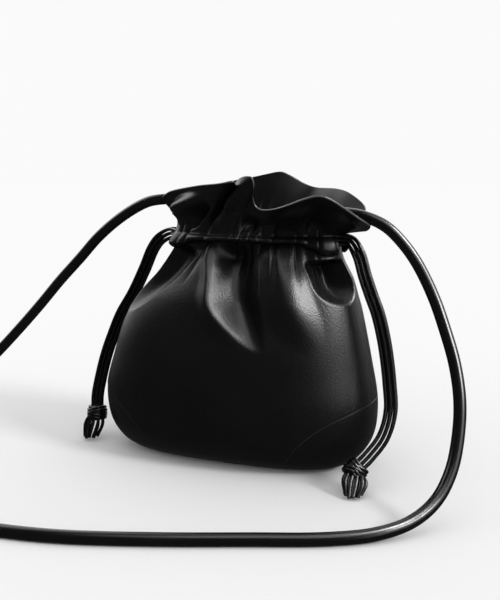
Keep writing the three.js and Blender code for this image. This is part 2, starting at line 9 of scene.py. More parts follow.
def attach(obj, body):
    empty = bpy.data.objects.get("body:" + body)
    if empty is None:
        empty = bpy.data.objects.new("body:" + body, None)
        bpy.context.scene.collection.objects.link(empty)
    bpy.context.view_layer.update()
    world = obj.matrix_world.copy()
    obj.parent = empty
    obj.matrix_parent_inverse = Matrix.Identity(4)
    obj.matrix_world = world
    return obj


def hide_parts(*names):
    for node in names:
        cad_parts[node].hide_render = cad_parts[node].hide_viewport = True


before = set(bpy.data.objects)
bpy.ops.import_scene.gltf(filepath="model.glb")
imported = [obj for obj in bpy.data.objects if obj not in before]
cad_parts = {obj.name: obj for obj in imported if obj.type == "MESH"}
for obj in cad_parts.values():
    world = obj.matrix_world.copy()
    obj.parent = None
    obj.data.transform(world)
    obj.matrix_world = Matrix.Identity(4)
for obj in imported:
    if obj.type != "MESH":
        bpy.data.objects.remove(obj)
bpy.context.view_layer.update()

bl_info = {
    "name": "Drawstring Leather Bag",
    "version": (1, 0, 0),
    "blender": (4, 5, 0),
    "location": "View3D > Sidebar > Bag",
    "description": "Builds a small black leather drawstring bag with its ruffled collar, cords and strap",
    "category": "Add Mesh",
}

BODY = "root"
MM = 0.001

# Cross sections of the body from the floor to the neck: height is a share of the neck's height, wide and
# deep are shares of the body's width and depth, square is the ellipse's power, lean moves it sideways.
Section = namedtuple("Section", "height wide deep square lean")
SECTIONS = [
    Section(0.0, 0.66, 0.46, 2.8, 0),
    Section(0.02, 0.81, 0.62, 2.7, 0),
    Section(0.07, 0.92, 0.8, 2.5, 0),
    Section(0.16, 0.99, 0.95, 2.4, 0),
    Section(0.3, 1.0, 1.0, 2.4, 0),
    Section(0.46, 0.945, 0.98, 2.3, 0.006),
    Section(0.6, 0.885, 0.93, 2.2, 0.014),
    Section(0.72, 0.81, 0.84, 2.1, 0.03),
    Section(0.82, 0.715, 0.7, 2.0, 0.055),
    Section(0.9, 0.635, 0.56, 2.0, 0.062),
    Section(0.96, 0.595, 0.47, 2.0, 0.07),
    Section(1.0, 0.58, 0.44, 2.0, 0.075),
]

# Folds that run down from the neck. top and foot are turns in degrees, start and end are shares of the
# neck's height, wide_top and wide_foot are half widths in degrees, depth is a share of the fold depth,
# below zero where the leather goes into the bag, and crisp is 1 where the fold has a creased rim.
Fold = namedtuple("Fold", "name top foot start end wide_top wide_foot depth crisp")
FOLDS = [
    Fold("left gusset hollow", 214, 206, 0.93, 0.69, 26, 20, -1.0, 1.0),
    Fold("right gusset hollow", 334, 338, 0.89, 0.75, 22, 20, -1.2, 0.95),
    Fold("front valley", 262, 283, 0.95, 0.61, 18, 9, -1.0, 0.6),
    Fold("front ridge", 246, 274, 0.97, 0.6, 9, 8, 0.3, 0.0),
    Fold("front bulge", 292, 308, 0.97, 0.6, 14, 18, 0.4, 0.0),
    Fold("left back hollow", 152, 162, 0.93, 0.7, 20, 15, -0.8, 0.8),
    Fold("right back hollow", 26, 18, 0.88, 0.72, 20, 15, -0.8, 0.8),
    Fold("back valley", 96, 90, 0.97, 0.62, 10, 10, -0.9, 0.5),
    Fold("back ridge", 118, 112, 0.96, 0.64, 10, 10, 0.25, 0.0),
]

# How a fold begins and ends, as shares of its length: it fades in over a stretch that starts above it, and
# its foot is rounded off over its last part and a little past it.
FOLD_START_PAST = 0.12
FOLD_START_FADE = 0.3
FOLD_ROUND_FROM = 0.62
FOLD_ROUND_PAST = 0.2

# The ruffle's free edge, once round. turn is in degrees, out and back are shares of half of the collar's
# width and depth from the neck's middle, and up is a share of the collar's rise.
Rim = namedtuple("Rim", "turn out back up")
RIM = [
    Rim(0, 0.98, -0.04, 0.08), Rim(10, 0.94, 0.08, 0.22), Rim(22, 0.94, 0.2, 0.44),
    Rim(38, 0.78, 0.4, 0.64), Rim(52, 0.63, 0.56, 0.71), Rim(66, 0.41, 0.72, 0.72),
    Rim(78, 0.28, 0.76, 0.79), Rim(88, 0.15, 0.74, 0.93), Rim(96, 0.06, 0.7, 1.0),
    Rim(106, -0.07, 0.66, 0.96), Rim(116, -0.19, 0.62, 0.91), Rim(130, -0.41, 0.56, 0.83),
    Rim(148, -0.64, 0.4, 0.74), Rim(165, -0.84, 0.2, 0.66), Rim(180, -0.95, -0.04, 0.52),
    Rim(191, -0.85, -0.2, 0.64), Rim(200, -0.69, -0.32, 0.72), Rim(215, -0.41, -0.6, 0.8),
    Rim(228, -0.17, -0.8, 0.84), Rim(236, -0.04, -0.8, 0.87), Rim(241, -0.09, -0.52, 0.79),
    Rim(246, -0.05, -0.6, 0.9), Rim(252, 0.05, -0.76, 0.96), Rim(257, 0.13, -0.86, 0.94),
    Rim(261, 0.14, -0.8, 0.79), Rim(265, 0.1, -0.66, 0.61), Rim(270, 0.11, -0.6, 0.47),
    Rim(277, 0.18, -0.64, 0.42), Rim(285, 0.33, -0.78, 0.45), Rim(293, 0.47, -0.9, 0.52),
    Rim(302, 0.62, -1.0, 0.62), Rim(311, 0.74, -1.04, 0.67), Rim(320, 0.83, -1.0, 0.62),
    Rim(330, 0.93, -0.84, 0.47), Rim(340, 1.01, -0.56, 0.3), Rim(349, 1.05, -0.26, 0.17),
    Rim(360, 0.98, -0.04, 0.08),
]

# Places where the ruffle bulges out or goes in. turn is in degrees, share goes from 0 at the neck to 1 at
# the free edge, half_turn and half_share are half sizes, and push is in metres.
Dent = namedtuple("Dent", "name turn share half_turn half_share push")
DENTS = [
    Dent("left lobe belly", 208, 0.5, 20, 0.42, 0.011),
    Dent("left lobe hollow", 224, 0.3, 11, 0.36, -0.009),
    Dent("pleat groove", 241, 0.5, 5, 0.6, -0.006),
    Dent("pleat belly", 252, 0.5, 7, 0.5, 0.004),
    Dent("front hollow", 272, 0.35, 9, 0.4, -0.004),
    Dent("right lobe belly", 300, 0.5, 13, 0.45, 0.006),
    Dent("right lobe hollow", 320, 0.35, 8, 0.4, -0.005),
    Dent("right tip belly", 338, 0.5, 18, 0.48, 0.01),
]

# How high the strap's middle is where it lies on the floor.
STRAP_LIES = 0.00405

# The strap's route in metres, from its stop inside the collar's left end, out over the floor in a loop
# past the left, along the floor in front and up in an arc into the collar's right end.
STRAP_ROUTE = [
    (-0.045, 0.002, 0.190), (-0.052, 0.000, 0.189), (-0.060, -0.002, 0.1886),
    (-0.070, -0.003, 0.187), (-0.080, -0.003, 0.183), (-0.097, -0.003, 0.173),
    (-0.115, -0.003, 0.159), (-0.132, -0.003, 0.142), (-0.151, -0.004, 0.123),
    (-0.169, -0.006, 0.103), (-0.188, -0.008, 0.083), (-0.206, -0.012, 0.064),
    (-0.224, -0.019, 0.045), (-0.241, -0.030, 0.028), (-0.257, -0.045, 0.014),
    (-0.270, -0.065, 0.0065), (-0.276, -0.090, STRAP_LIES), (-0.270, -0.117, STRAP_LIES),
    (-0.253, -0.143, STRAP_LIES), (-0.227, -0.164, STRAP_LIES), (-0.194, -0.178, STRAP_LIES),
    (-0.158, -0.185, STRAP_LIES), (-0.118, -0.188, STRAP_LIES), (-0.076, -0.187, STRAP_LIES),
    (-0.038, -0.181, STRAP_LIES), (0.011, -0.166, STRAP_LIES), (0.064, -0.146, STRAP_LIES),
    (0.107, -0.129, 0.00415), (0.132, -0.114, 0.005), (0.149, -0.097, 0.0085),
    (0.160, -0.081, 0.017), (0.166, -0.068, 0.031), (0.168, -0.057, 0.049),
    (0.167, -0.047, 0.069), (0.162, -0.038, 0.090), (0.154, -0.031, 0.111),
    (0.145, -0.025, 0.131), (0.133, -0.019, 0.151), (0.122, -0.015, 0.164),
    (0.110, -0.012, 0.174), (0.096, -0.010, 0.1796), (0.081, -0.006, 0.1816),
    (0.066, 0.000, 0.180), (0.054, 0.005, 0.172),
]

# The middle line of each drawstring bundle, in metres, from below its mouth down to its knot, then the
# knot's middle and the tip that its cut ends reach on the floor.
Side = namedtuple("Side", "name side route knot tip")
SIDES = [
    Side("left", -1, [
        (-0.054, 0.0, 0.1635), (-0.064, 0.002, 0.159), (-0.072, 0.005, 0.151), (-0.082, 0.009, 0.134),
        (-0.094, 0.012, 0.114), (-0.104, 0.010, 0.097), (-0.110, 0.007, 0.081), (-0.114, 0.002, 0.065),
        (-0.116, -0.005, 0.046), (-0.116, -0.010, 0.034),
    ], (-0.115, -0.013, 0.021), (-0.119, -0.021, 0.0018)),
    Side("right", 1, [
        (0.085, -0.004, 0.162), (0.092, -0.009, 0.1535), (0.097, -0.012, 0.140), (0.102, -0.013, 0.127),
        (0.107, -0.014, 0.115), (0.111, -0.015, 0.101), (0.114, -0.016, 0.087), (0.117, -0.018, 0.068),
        (0.119, -0.022, 0.050), (0.116, -0.029, 0.034), (0.109, -0.037, 0.023),
    ], (0.101, -0.045, 0.014), (0.103, -0.062, 0.0018)),
]

# Where each of a side's six strands runs: its channel, 1 in front and -1 behind, and its level there.
STRANDS = [(1, 1), (1, 0), (1, -1), (-1, 1), (-1, 0), (-1, -1)]

# A strand's first points, in degrees inside the casing's mouth, below zero outside it. The last of them
# swings off the neck by the flare, and two strands lie a small gap apart.
STRAND_TURNS = [8, 2, -5]
STRAND_FLARE = 1.7 * MM
STRAND_GAP = 0.25 * MM

# How far above the knot's middle the strands end, as a share of its height.
KNOT_ENTRY = 0.2


class BagSizes(bpy.types.PropertyGroup):
    body_width: bpy.props.FloatProperty(
        name="Body width", description="Widest part of the body", default=0.208, unit="LENGTH")
    body_depth: bpy.props.FloatProperty(
        name="Body depth",
        description="Deepest part of the body, front to back",
        default=0.112, unit="LENGTH")
    neck_height: bpy.props.FloatProperty(
        name="Neck height", description="Height of the gathered neck", default=0.166, unit="LENGTH")
    collar_width: bpy.props.FloatProperty(
        name="Collar width",
        description="Width of the ruffle at its free edge",
        default=0.16, unit="LENGTH")
    collar_depth: bpy.props.FloatProperty(
        name="Collar depth",
        description="Depth of the ruffle at its free edge",
        default=0.1, unit="LENGTH")
    collar_rise: bpy.props.FloatProperty(
        name="Collar rise",
        description="Highest point of the ruffle above the neck",
        default=0.042, unit="LENGTH")
    leather: bpy.props.FloatProperty(
        name="Leather", description="Thickness of the leather", default=0.0015, unit="LENGTH")
    seam_gap: bpy.props.FloatProperty(
        name="Seam gap", description="Gap between two pieces along a seam", default=0.0005, unit="LENGTH")
    fit: bpy.props.FloatProperty(
        name="Fit",
        description="Space under the casing and round the cords",
        default=0.00045, unit="LENGTH")
    fold_depth: bpy.props.FloatProperty(
        name="Fold depth", description="Depth of a fold whose share is 1", default=0.015, unit="LENGTH")
    gather_depth: bpy.props.FloatProperty(
        name="Gather depth",
        description="Depth of the small gathers round the neck",
        default=0.0024, unit="LENGTH")
    tongue_height: bpy.props.FloatProperty(
        name="Tongue height",
        description="How far the base panel climbs at the sides",
        default=0.05, unit="LENGTH")
    tongue_turn: bpy.props.FloatProperty(
        name="Tongue turn", description="Half width of a tongue at the floor, in degrees", default=64)
    casing_below: bpy.props.FloatProperty(
        name="Casing below",
        description="How far the casing hangs below the neck at its mouths",
        default=0.013, unit="LENGTH")
    casing_front: bpy.props.FloatProperty(
        name="Casing front",
        description="How far it hangs below the neck in front",
        default=0.005, unit="LENGTH")
    casing_share: bpy.props.FloatProperty(
        name="Casing share",
        description="How far up the collar the casing reaches",
        default=0.36, subtype="FACTOR")
    casing_puff: bpy.props.FloatProperty(
        name="Casing puff",
        description="How far the casing stands off the neck",
        default=0.005, unit="LENGTH")
    casing_mouth: bpy.props.FloatProperty(
        name="Casing mouth", description="Where the casing ends, in degrees from the side", default=17)
    strap_diameter: bpy.props.FloatProperty(
        name="Strap diameter", description="Thickness of the round strap", default=0.008, unit="LENGTH")
    stop_diameter: bpy.props.FloatProperty(
        name="Stop diameter",
        description="Thickness of the stop on the strap's end",
        default=0.011, unit="LENGTH")
    strand_diameter: bpy.props.FloatProperty(
        name="Strand diameter", description="Thickness of a drawstring", default=0.0026, unit="LENGTH")
    strand_pitch: bpy.props.FloatProperty(
        name="Strand pitch", description="Distance between two strands", default=0.0032, unit="LENGTH")
    channel_height: bpy.props.FloatProperty(
        name="Channel height",
        description="Height of the middle strand in the casing",
        default=0.163, unit="LENGTH")
    knot_width: bpy.props.FloatProperty(
        name="Knot width", description="Thickness of a knot", default=0.016, unit="LENGTH")
    knot_height: bpy.props.FloatProperty(
        name="Knot height", description="Length of a knot along its cords", default=0.017, unit="LENGTH")


class BagFinish(bpy.types.PropertyGroup):
    leather_colour: bpy.props.FloatVectorProperty(
        name="Leather colour", description="Colour of the dyed leather",
        subtype="COLOR", size=3, min=0, max=1, default=(0.0025, 0.0025, 0.0027))
    worn_colour: bpy.props.FloatVectorProperty(
        name="Rubbed colour", description="Colour where the leather is rubbed",
        subtype="COLOR", size=3, min=0, max=1, default=(0.006, 0.006, 0.0064))
    # The pale colour of the cut rims: partly their own tone, partly a painted highlight that lightens them.
    edge_and_highlight_colour: bpy.props.FloatVectorProperty(
        name="Edge colour", description="Colour of the cut and painted edges",
        subtype="COLOR", size=3, min=0, max=1, default=(0.07, 0.07, 0.072))
    roughness: bpy.props.FloatProperty(
        name="Roughness", description="Roughness of the soft leather", default=0.34, subtype="FACTOR")
    grain_size: bpy.props.FloatProperty(
        name="Grain size", description="Size of the leather's grain", default=0.0011, unit="LENGTH")
    floor_colour: bpy.props.FloatVectorProperty(
        name="Floor colour", description="Colour of the plain floor",
        subtype="COLOR", size=3, min=0, max=1, default=(0.92, 0.92, 0.92))


def ease(value):
    """A soft step from 0 to 1."""
    value = np.clip(value, 0, 1)
    return value * value * (3 - 2 * value)


def mix(a, b, share):
    return a + (b - a) * share


def smooth(rows, column, place, ring=False):
    """A table's column at places between its rows, on a smooth curve through all of them."""
    values = np.array([getattr(row, column) for row in rows], float)
    last = len(rows) - 1
    place = np.asarray(place, float)
    i = np.clip(np.floor(place).astype(int), 0, last - 1)
    f = place - i
    before = np.where(i > 0, i - 1, last - 1 if ring else 0)
    after = np.where(i < last - 1, i + 2, 1 if ring else last)
    a, b, c, d = values[before], values[i], values[i + 1], values[after]
    square = (2 * a - 5 * b + 4 * c - d) * f * f
    cubic = (3 * b - a - 3 * c + d) * f ** 3
    return 0.5 * (2 * b + (c - a) * f + square + cubic)


def long(vectors):
    """The length of each vector in a grid."""
    return np.linalg.norm(vectors, axis=-1)


def unit(vectors):
    return vectors / np.maximum(long(vectors)[..., None], 1e-12)


def from_side(turn):
    """How many degrees a turn is from the nearer side of the bag."""
    return np.abs((np.asarray(turn, float) + 90) % 180 - 90)


class Shape:
    """The bag's surfaces, worked out from its sizes. A turn is in degrees round the bag, from its right
    side, and a place runs from 0 at the middle of the base to 1 at the floor's edge, then up one for each
    section."""

    NECK = len(SECTIONS)

    # The seam's place past the floor's edge between the tongues, and the powers of a tongue's outline.
    FLOOR_EDGE = 0.05
    TONGUE_FLAT = 2.6
    TONGUE_STEEP = 0.5

    # The powers by which the ruffle rises and spreads, and the share over which its dents fade in.
    COLLAR_CLIMB = 0.85
    COLLAR_SPREAD = 1.3
    DENTS_FADE = 0.15

    # The gathers begin at a share of the neck's height, and leave the sides plain, in degrees from them.
    GATHERS_FROM = 0.76
    GATHERS_FADE = 0.2
    PLAIN_SIDE = 24
    PLAIN_FADE = 12

    # The seam's half gap grows where the seam is steep, up to this many times.
    SLANT_MOST = 4

    # The share of a panel's columns that are spread evenly along its seam, not by their turn.
    ALONG_SEAM = 0.6

    # How many points measure the seam, and how many halvings find a height's place.
    SEAM_POINTS = 4000
    HALVINGS = 30

    def __init__(self, sizes):
        self.sizes = sizes
        self.middle = SECTIONS[-1].lean * sizes.body_width

    def place_at_height(self, height):
        """The section place where the body has a given height."""
        share = np.asarray(height, float) / self.sizes.neck_height
        low = np.zeros_like(share)
        high = np.full_like(share, len(SECTIONS) - 1)
        for _ in range(self.HALVINGS):
            middle = (low + high) / 2
            below = smooth(SECTIONS, "height", middle) < share
            low = np.where(below, middle, low)
            high = np.where(below, high, middle)
        return low

    def fold_push(self, turn, height):
        """How far the folds push the leather out, at a turn and a share of the neck's height."""
        push = np.zeros(np.broadcast(turn, height).shape)
        for fold in FOLDS:
            down = (fold.start - height) / (fold.start - fold.end)
            line = mix(fold.top, fold.foot, down)
            half = mix(fold.wide_top, fold.wide_foot, np.clip(down, 0, 1))
            aside = np.abs((turn - line + 540) % 360 - 180) / half
            foot = np.clip((down - FOLD_ROUND_FROM) / (1 + FOLD_ROUND_PAST - FOLD_ROUND_FROM), 0, 2)
            off = np.sqrt(aside ** 2 + foot ** 2)
            creased = np.clip(1 - off ** 2, 0, 1)
            profile = mix(1 - ease(off), creased, fold.crisp)
            push += fold.depth * ease((down + FOLD_START_PAST) / FOLD_START_FADE) * profile
        return push * self.sizes.fold_depth

    def body(self, turn, place, aside=0.0):
        """A point on the body's outer face, moved out of it by aside, level with the floor."""
        turn, place = np.broadcast_arrays(np.asarray(turn, float), np.asarray(place, float))
        rise = np.maximum(0, place - 1)
        spread = np.minimum(1, place)
        height = smooth(SECTIONS, "height", rise)
        wide = smooth(SECTIONS, "wide", rise) * self.sizes.body_width / 2
        deep = smooth(SECTIONS, "deep", rise) * self.sizes.body_depth / 2
        square = smooth(SECTIONS, "square", rise)
        c, s = np.cos(np.radians(turn)), np.sin(np.radians(turn))
        out = unit(np.stack([c / wide, s / deep], -1))
        push = aside + np.where(place > 1, self.fold_push(turn, height), 0)
        return np.stack([
            spread * wide * np.sign(c) * np.abs(c) ** (2 / square)
            + smooth(SECTIONS, "lean", rise) * self.sizes.body_width + push * out[..., 0],
            spread * deep * np.sign(s) * np.abs(s) ** (2 / square) + push * out[..., 1],
            height * self.sizes.neck_height,
        ], -1)

    def rim(self, turn):
        """A point on the ruffle's free edge."""
        around = np.asarray(turn, float) % 360
        turns = np.array([row.turn for row in RIM], float)
        row = np.clip(np.searchsorted(turns, around, side="right") - 1, 0, len(RIM) - 2)
        place = row + (around - turns[row]) / (turns[row + 1] - turns[row])
        sizes = self.sizes
        return np.stack([
            self.middle + smooth(RIM, "out", place, True) * sizes.collar_width / 2,
            smooth(RIM, "back", place, True) * sizes.collar_depth / 2,
            sizes.neck_height + smooth(RIM, "up", place, True) * sizes.collar_rise,
        ], -1)

    def collar(self, turn, share, aside=0.0):
        """A point on the collar's outer face, from 0 at the neck to 1 at the free edge."""
        turn, share = np.broadcast_arrays(np.asarray(turn, float), np.asarray(share, float))
        foot = self.body(turn, self.NECK)
        clear = self.body(turn, self.NECK, aside) - foot
        rim = self.rim(turn)
        spread = share ** self.COLLAR_SPREAD
        out = np.stack([np.cos(np.radians(turn)), np.sin(np.radians(turn)), 0 * turn], -1)
        return clear + out * self.dents(turn, share)[..., None] + np.stack([
            mix(foot[..., 0], rim[..., 0], spread),
            mix(foot[..., 1], rim[..., 1], spread),
            mix(foot[..., 2], rim[..., 2], share ** self.COLLAR_CLIMB),
        ], -1)

    def dents(self, turn, share):
        """How far the ruffle's own bulges and hollows push it out."""
        push = 0 * share
        for dent in DENTS:
            aside = ((turn - dent.turn + 540) % 360 - 180) / dent.half_turn
            push = push + dent.push * (1 - ease(np.hypot(aside, (share - dent.share) / dent.half_share)))
        return push * ease(share / self.DENTS_FADE)

    def collar_foot(self, turn):
        """The share where the collar's foot is one seam gap above the neck."""
        rise = self.rim(turn)[..., 2] - self.sizes.neck_height
        return (self.sizes.seam_gap / rise) ** (1 / self.COLLAR_CLIMB)

    def seam_place(self, turn):
        """The seam between the base panel and the body: a tongue up each side, and flat between them."""
        across = np.minimum(1, from_side(turn) / self.sizes.tongue_turn)
        height = self.sizes.tongue_height * (1 - across ** self.TONGUE_FLAT) ** self.TONGUE_STEEP
        return 1 + self.FLOOR_EDGE + self.place_at_height(height)

    def seam_step(self, turn):
        """Half of the seam's gap as a step of place."""
        seam = self.seam_place(turn)
        step = 0.05
        length = long(self.body(turn, seam + step) - self.body(turn, seam - step)) / (2 * step)
        level = long(self.body(turn + 1, seam) - self.body(turn - 1, seam))
        ahead = self.body(turn + 1, self.seam_place(turn + 1))
        slanted = long(ahead - self.body(turn - 1, self.seam_place(turn - 1)))
        return self.sizes.seam_gap / 2 * np.minimum(self.SLANT_MOST, slanted / level) / length

    def even_turns(self, start, end, count):
        """Turns that are close together where the seam is steep."""
        fine = np.linspace(start, end, self.SEAM_POINTS)
        line = self.body(fine, self.seam_place(fine))
        length = np.concatenate([[0], np.cumsum(long(np.diff(line, axis=0)))])
        share = mix(np.linspace(0, 1, len(fine)), length / length[-1], self.ALONG_SEAM)
        return np.interp(np.linspace(0, 1, count), share, fine)

    def seam_turn(self, turn, place, start):
        """A turn moved away from the side seams, so that half the seam's gap is left at any height."""
        rise = np.maximum(0, place - 1)
        deep = smooth(SECTIONS, "deep", rise) * self.sizes.body_depth / 2
        square = smooth(SECTIONS, "square", rise)
        inset = np.degrees(np.arcsin((self.sizes.seam_gap / 2 / deep) ** (square / 2)))
        return start + mix(inset, 180 - inset, (turn - start) / 180)

    def gathered(self, turn):
        """How strongly the small gathers show at a turn, from 0 at the sides to 1."""
        return ease((from_side(turn) - self.PLAIN_SIDE) / self.PLAIN_FADE)

    def gather_reach(self, turn, height):
        """How strongly the small gathers show on the body, from 0 to 1."""
        return ease((height - self.GATHERS_FROM) / self.GATHERS_FADE) * self.gathered(turn)


def normals_of(surface, turn, place, turn_step=0.1, place_step=0.02):
    """Outward directions of a surface, which gives a point for each turn and place."""
    along = surface(turn + turn_step, place) - surface(turn - turn_step, place)
    up = surface(turn, place + place_step) - surface(turn, np.maximum(0, place - place_step))
    return unit(np.cross(along, up))


def grid_faces(low, high, low_right, high_right):
    """Four-sided faces between the numbers of a grid's points and of those after and beside them."""
    return np.stack([low, low_right, high_right, high], -1).reshape(-1, 4).tolist()


def closed_faces(count, columns):
    """The faces of a wall that goes all the way round: rings of points, and one face at each end."""
    index = np.arange(count * columns).reshape(count, columns)
    beside = np.roll(index, -1, axis=1)
    faces = grid_faces(index[:-1], index[1:], beside[:-1], beside[1:])
    faces.append(list(reversed(range(columns))))
    faces.append(list(range((count - 1) * columns, count * columns)))
    return faces


def open_faces(count, columns, rows, rims):
    """The faces of a wall with two ends: a loop of points in each column, and a strip over each end."""
    index = np.arange(count * columns).reshape(count, columns)
    after = np.roll(index, -1, axis=0)
    faces = grid_faces(index[:, :-1], after[:, :-1], index[:, 1:], after[:, 1:])
    inner = rows + rims - 1
    for column, turned in ((0, False), (columns - 1, True)):
        line = index[:, column]
        caps = [[line[r], line[r + 1], line[inner + rows - 2 - r], line[inner + rows - 1 - r]]
                for r in range(rows - 1)]
        caps.append([line[k] for k in range(rows - 1, inner + 1)])
        caps.append([line[k % count] for k in range(count - rims, count + 1)])
        faces += [[int(v) for v in (reversed(cap) if turned else cap)] for cap in caps]
    return faces


def wall(name, points, normals, thickness, attributes, around=False, rims=4):
    """A leather wall from its outer face's grid of points: outer face, rounded rims and inner face.

    A wall that goes all the way round is closed at its middle. attributes are grids of numbers that the
    mesh keeps, and edge marks the cut rims."""
    thickness = np.broadcast_to(thickness, points.shape[:2])[..., None]
    inner = points - normals * thickness
    rings = [points]
    edge = [np.zeros(points.shape[:2])]
    kept = {key: [grid] for key, grid in attributes.items()}

    def rim(row, outward):
        middle = (points[row] + inner[row]) / 2
        for k in range(1, rims):
            turn = math.pi * k / rims if outward > 0 else math.pi * (1 - k / rims)
            across = normals[row] * math.cos(turn) + outward * ups[row] * math.sin(turn)
            rings.append((middle + across * thickness[row] / 2)[None])
            edge.append(np.ones((1, points.shape[1])))
            for key, grid in attributes.items():
                kept[key].append(grid[row][None])

    ups = unit(np.gradient(points, axis=0))
    rim(-1, 1)
    rings.append(inner[::-1])
    edge.append(np.zeros(points.shape[:2]))
    for key, grid in attributes.items():
        kept[key].append(grid[::-1])
    if not around:
        rim(0, -1)
    loop = np.concatenate(rings)
    loop[..., 2] = np.maximum(loop[..., 2], 0)
    faces = closed_faces(*loop.shape[:2]) if around else open_faces(*loop.shape[:2], points.shape[0], rims)
    mesh = bpy.data.meshes.new(name)
    mesh.from_pydata(loop.reshape(-1, 3).tolist(), [], faces)
    for key, grids in {**kept, "edge": edge}.items():
        grid = np.concatenate(grids)
        kind = "FLOAT_VECTOR" if grid.ndim == 3 else "FLOAT"
        made = mesh.attributes.new(key, kind, "POINT")
        made.data.foreach_set("vector" if grid.ndim == 3 else "value", grid.astype(np.float32).ravel())
    mesh.validate()
    mesh.shade_smooth()
    piece = bpy.data.objects.new(name, mesh)
    bpy.context.collection.objects.link(piece)
    return piece


def wander(points, size, seed):
    """Slow noise over a grid of points, from -1 to 1."""
    flat = points.reshape(-1, 3) / size + seed
    return np.array([noise.noise(Vector(p)) for p in flat]).reshape(points.shape[:-1])


def curve_points(route, per_span=12):
    """Points on a centripetal curve through a route's points."""
    given = np.array(route, float)
    given = np.vstack([2 * given[0] - given[1], given, 2 * given[-1] - given[-2]])
    steps = np.sqrt(long(np.diff(given, axis=0)))
    found = []
    for k in range(len(given) - 3):
        a, b, c, d = given[k:k + 4]
        before, here, after = steps[k:k + 3]
        leave = ((b - a) / before - (c - a) / (before + here) + (c - b) / here) * here
        arrive = ((c - b) / here - (d - b) / (here + after) + (d - c) / after) * here
        for t in np.arange(per_span) / per_span:
            found.append(b + leave * t + (3 * (c - b) - 2 * leave - arrive) * t * t
                         + (2 * (b - c) + leave + arrive) * t ** 3)
    found.append(given[-2])
    return np.array(found)


def put(tree, kind, inputs=None, **settings):
    """Adds a node, sets its properties, and fills or links its inputs."""
    made = tree.nodes.new(kind)
    for name, value in settings.items():
        setattr(made, name, value)
    for key, value in (inputs or {}).items():
        if isinstance(value, bpy.types.NodeSocket):
            tree.links.new(value, made.inputs[key])
        else:
            made.inputs[key].default_value = value
    return made


def calc(tree, operation, *values):
    """The result of one Math node."""
    return put(tree, "ShaderNodeMath", dict(enumerate(values)), operation=operation).outputs[0]


def new_tree(name, kind, inputs, outputs):
    """A node group with named sockets, given as (name, socket kind, default)."""
    tree = bpy.data.node_groups.new(name, kind)
    for label, socket, default in inputs:
        made = tree.interface.new_socket(label, in_out="INPUT", socket_type=socket)
        if default is not None:
            made.default_value = default
    for label, socket in outputs:
        tree.interface.new_socket(label, in_out="OUTPUT", socket_type=socket)
    return tree, tree.nodes.new("NodeGroupInput"), tree.nodes.new("NodeGroupOutput")


def rolled_cord_tree():
    """Geometry Nodes: a round cord along a line of edges."""
    tree, given, result = new_tree("Rolled cord", "GeometryNodeTree", [
        ("Geometry", "NodeSocketGeometry", None),
        ("Diameter", "NodeSocketFloat", 0.003),
        ("Step", "NodeSocketFloat", 0.002),
        ("Sides", "NodeSocketInt", 16),
        ("Material", "NodeSocketMaterial", None),
    ], [("Geometry", "NodeSocketGeometry")])
    line = put(tree, "GeometryNodeMeshToCurve", {"Mesh": given.outputs["Geometry"]})
    even = put(tree, "GeometryNodeResampleCurve", {
        "Curve": line.outputs[0], "Length": given.outputs["Step"]}, mode="LENGTH")
    radius = calc(tree, "MULTIPLY", given.outputs["Diameter"], 0.5)
    ring = put(tree, "GeometryNodeCurvePrimitiveCircle", {
        "Resolution": given.outputs["Sides"], "Radius": radius})
    tube = put(tree, "GeometryNodeCurveToMesh", {
        "Curve": even.outputs[0], "Profile Curve": ring.outputs[0], "Fill Caps": True})
    shaded = put(tree, "GeometryNodeSetShadeSmooth", {"Geometry": tube.outputs[0]})
    real = put(tree, "GeometryNodeRealizeInstances", {"Geometry": shaded.outputs[0]})
    dressed = put(tree, "GeometryNodeSetMaterial", {
        "Geometry": real.outputs[0], "Material": given.outputs["Material"]})
    tree.links.new(dressed.outputs[0], result.inputs[0])
    return tree


# How the gathers vary round the neck: the scales at which their spacing and their depth change, how far
# their spacing drifts, and the power that makes a crease narrow.
GATHER_DRIFT_SCALE = 2.2
GATHER_DEPTH_SCALE = 5.0
GATHER_DRIFT = 6.0
GATHER_CREASE = 1.6


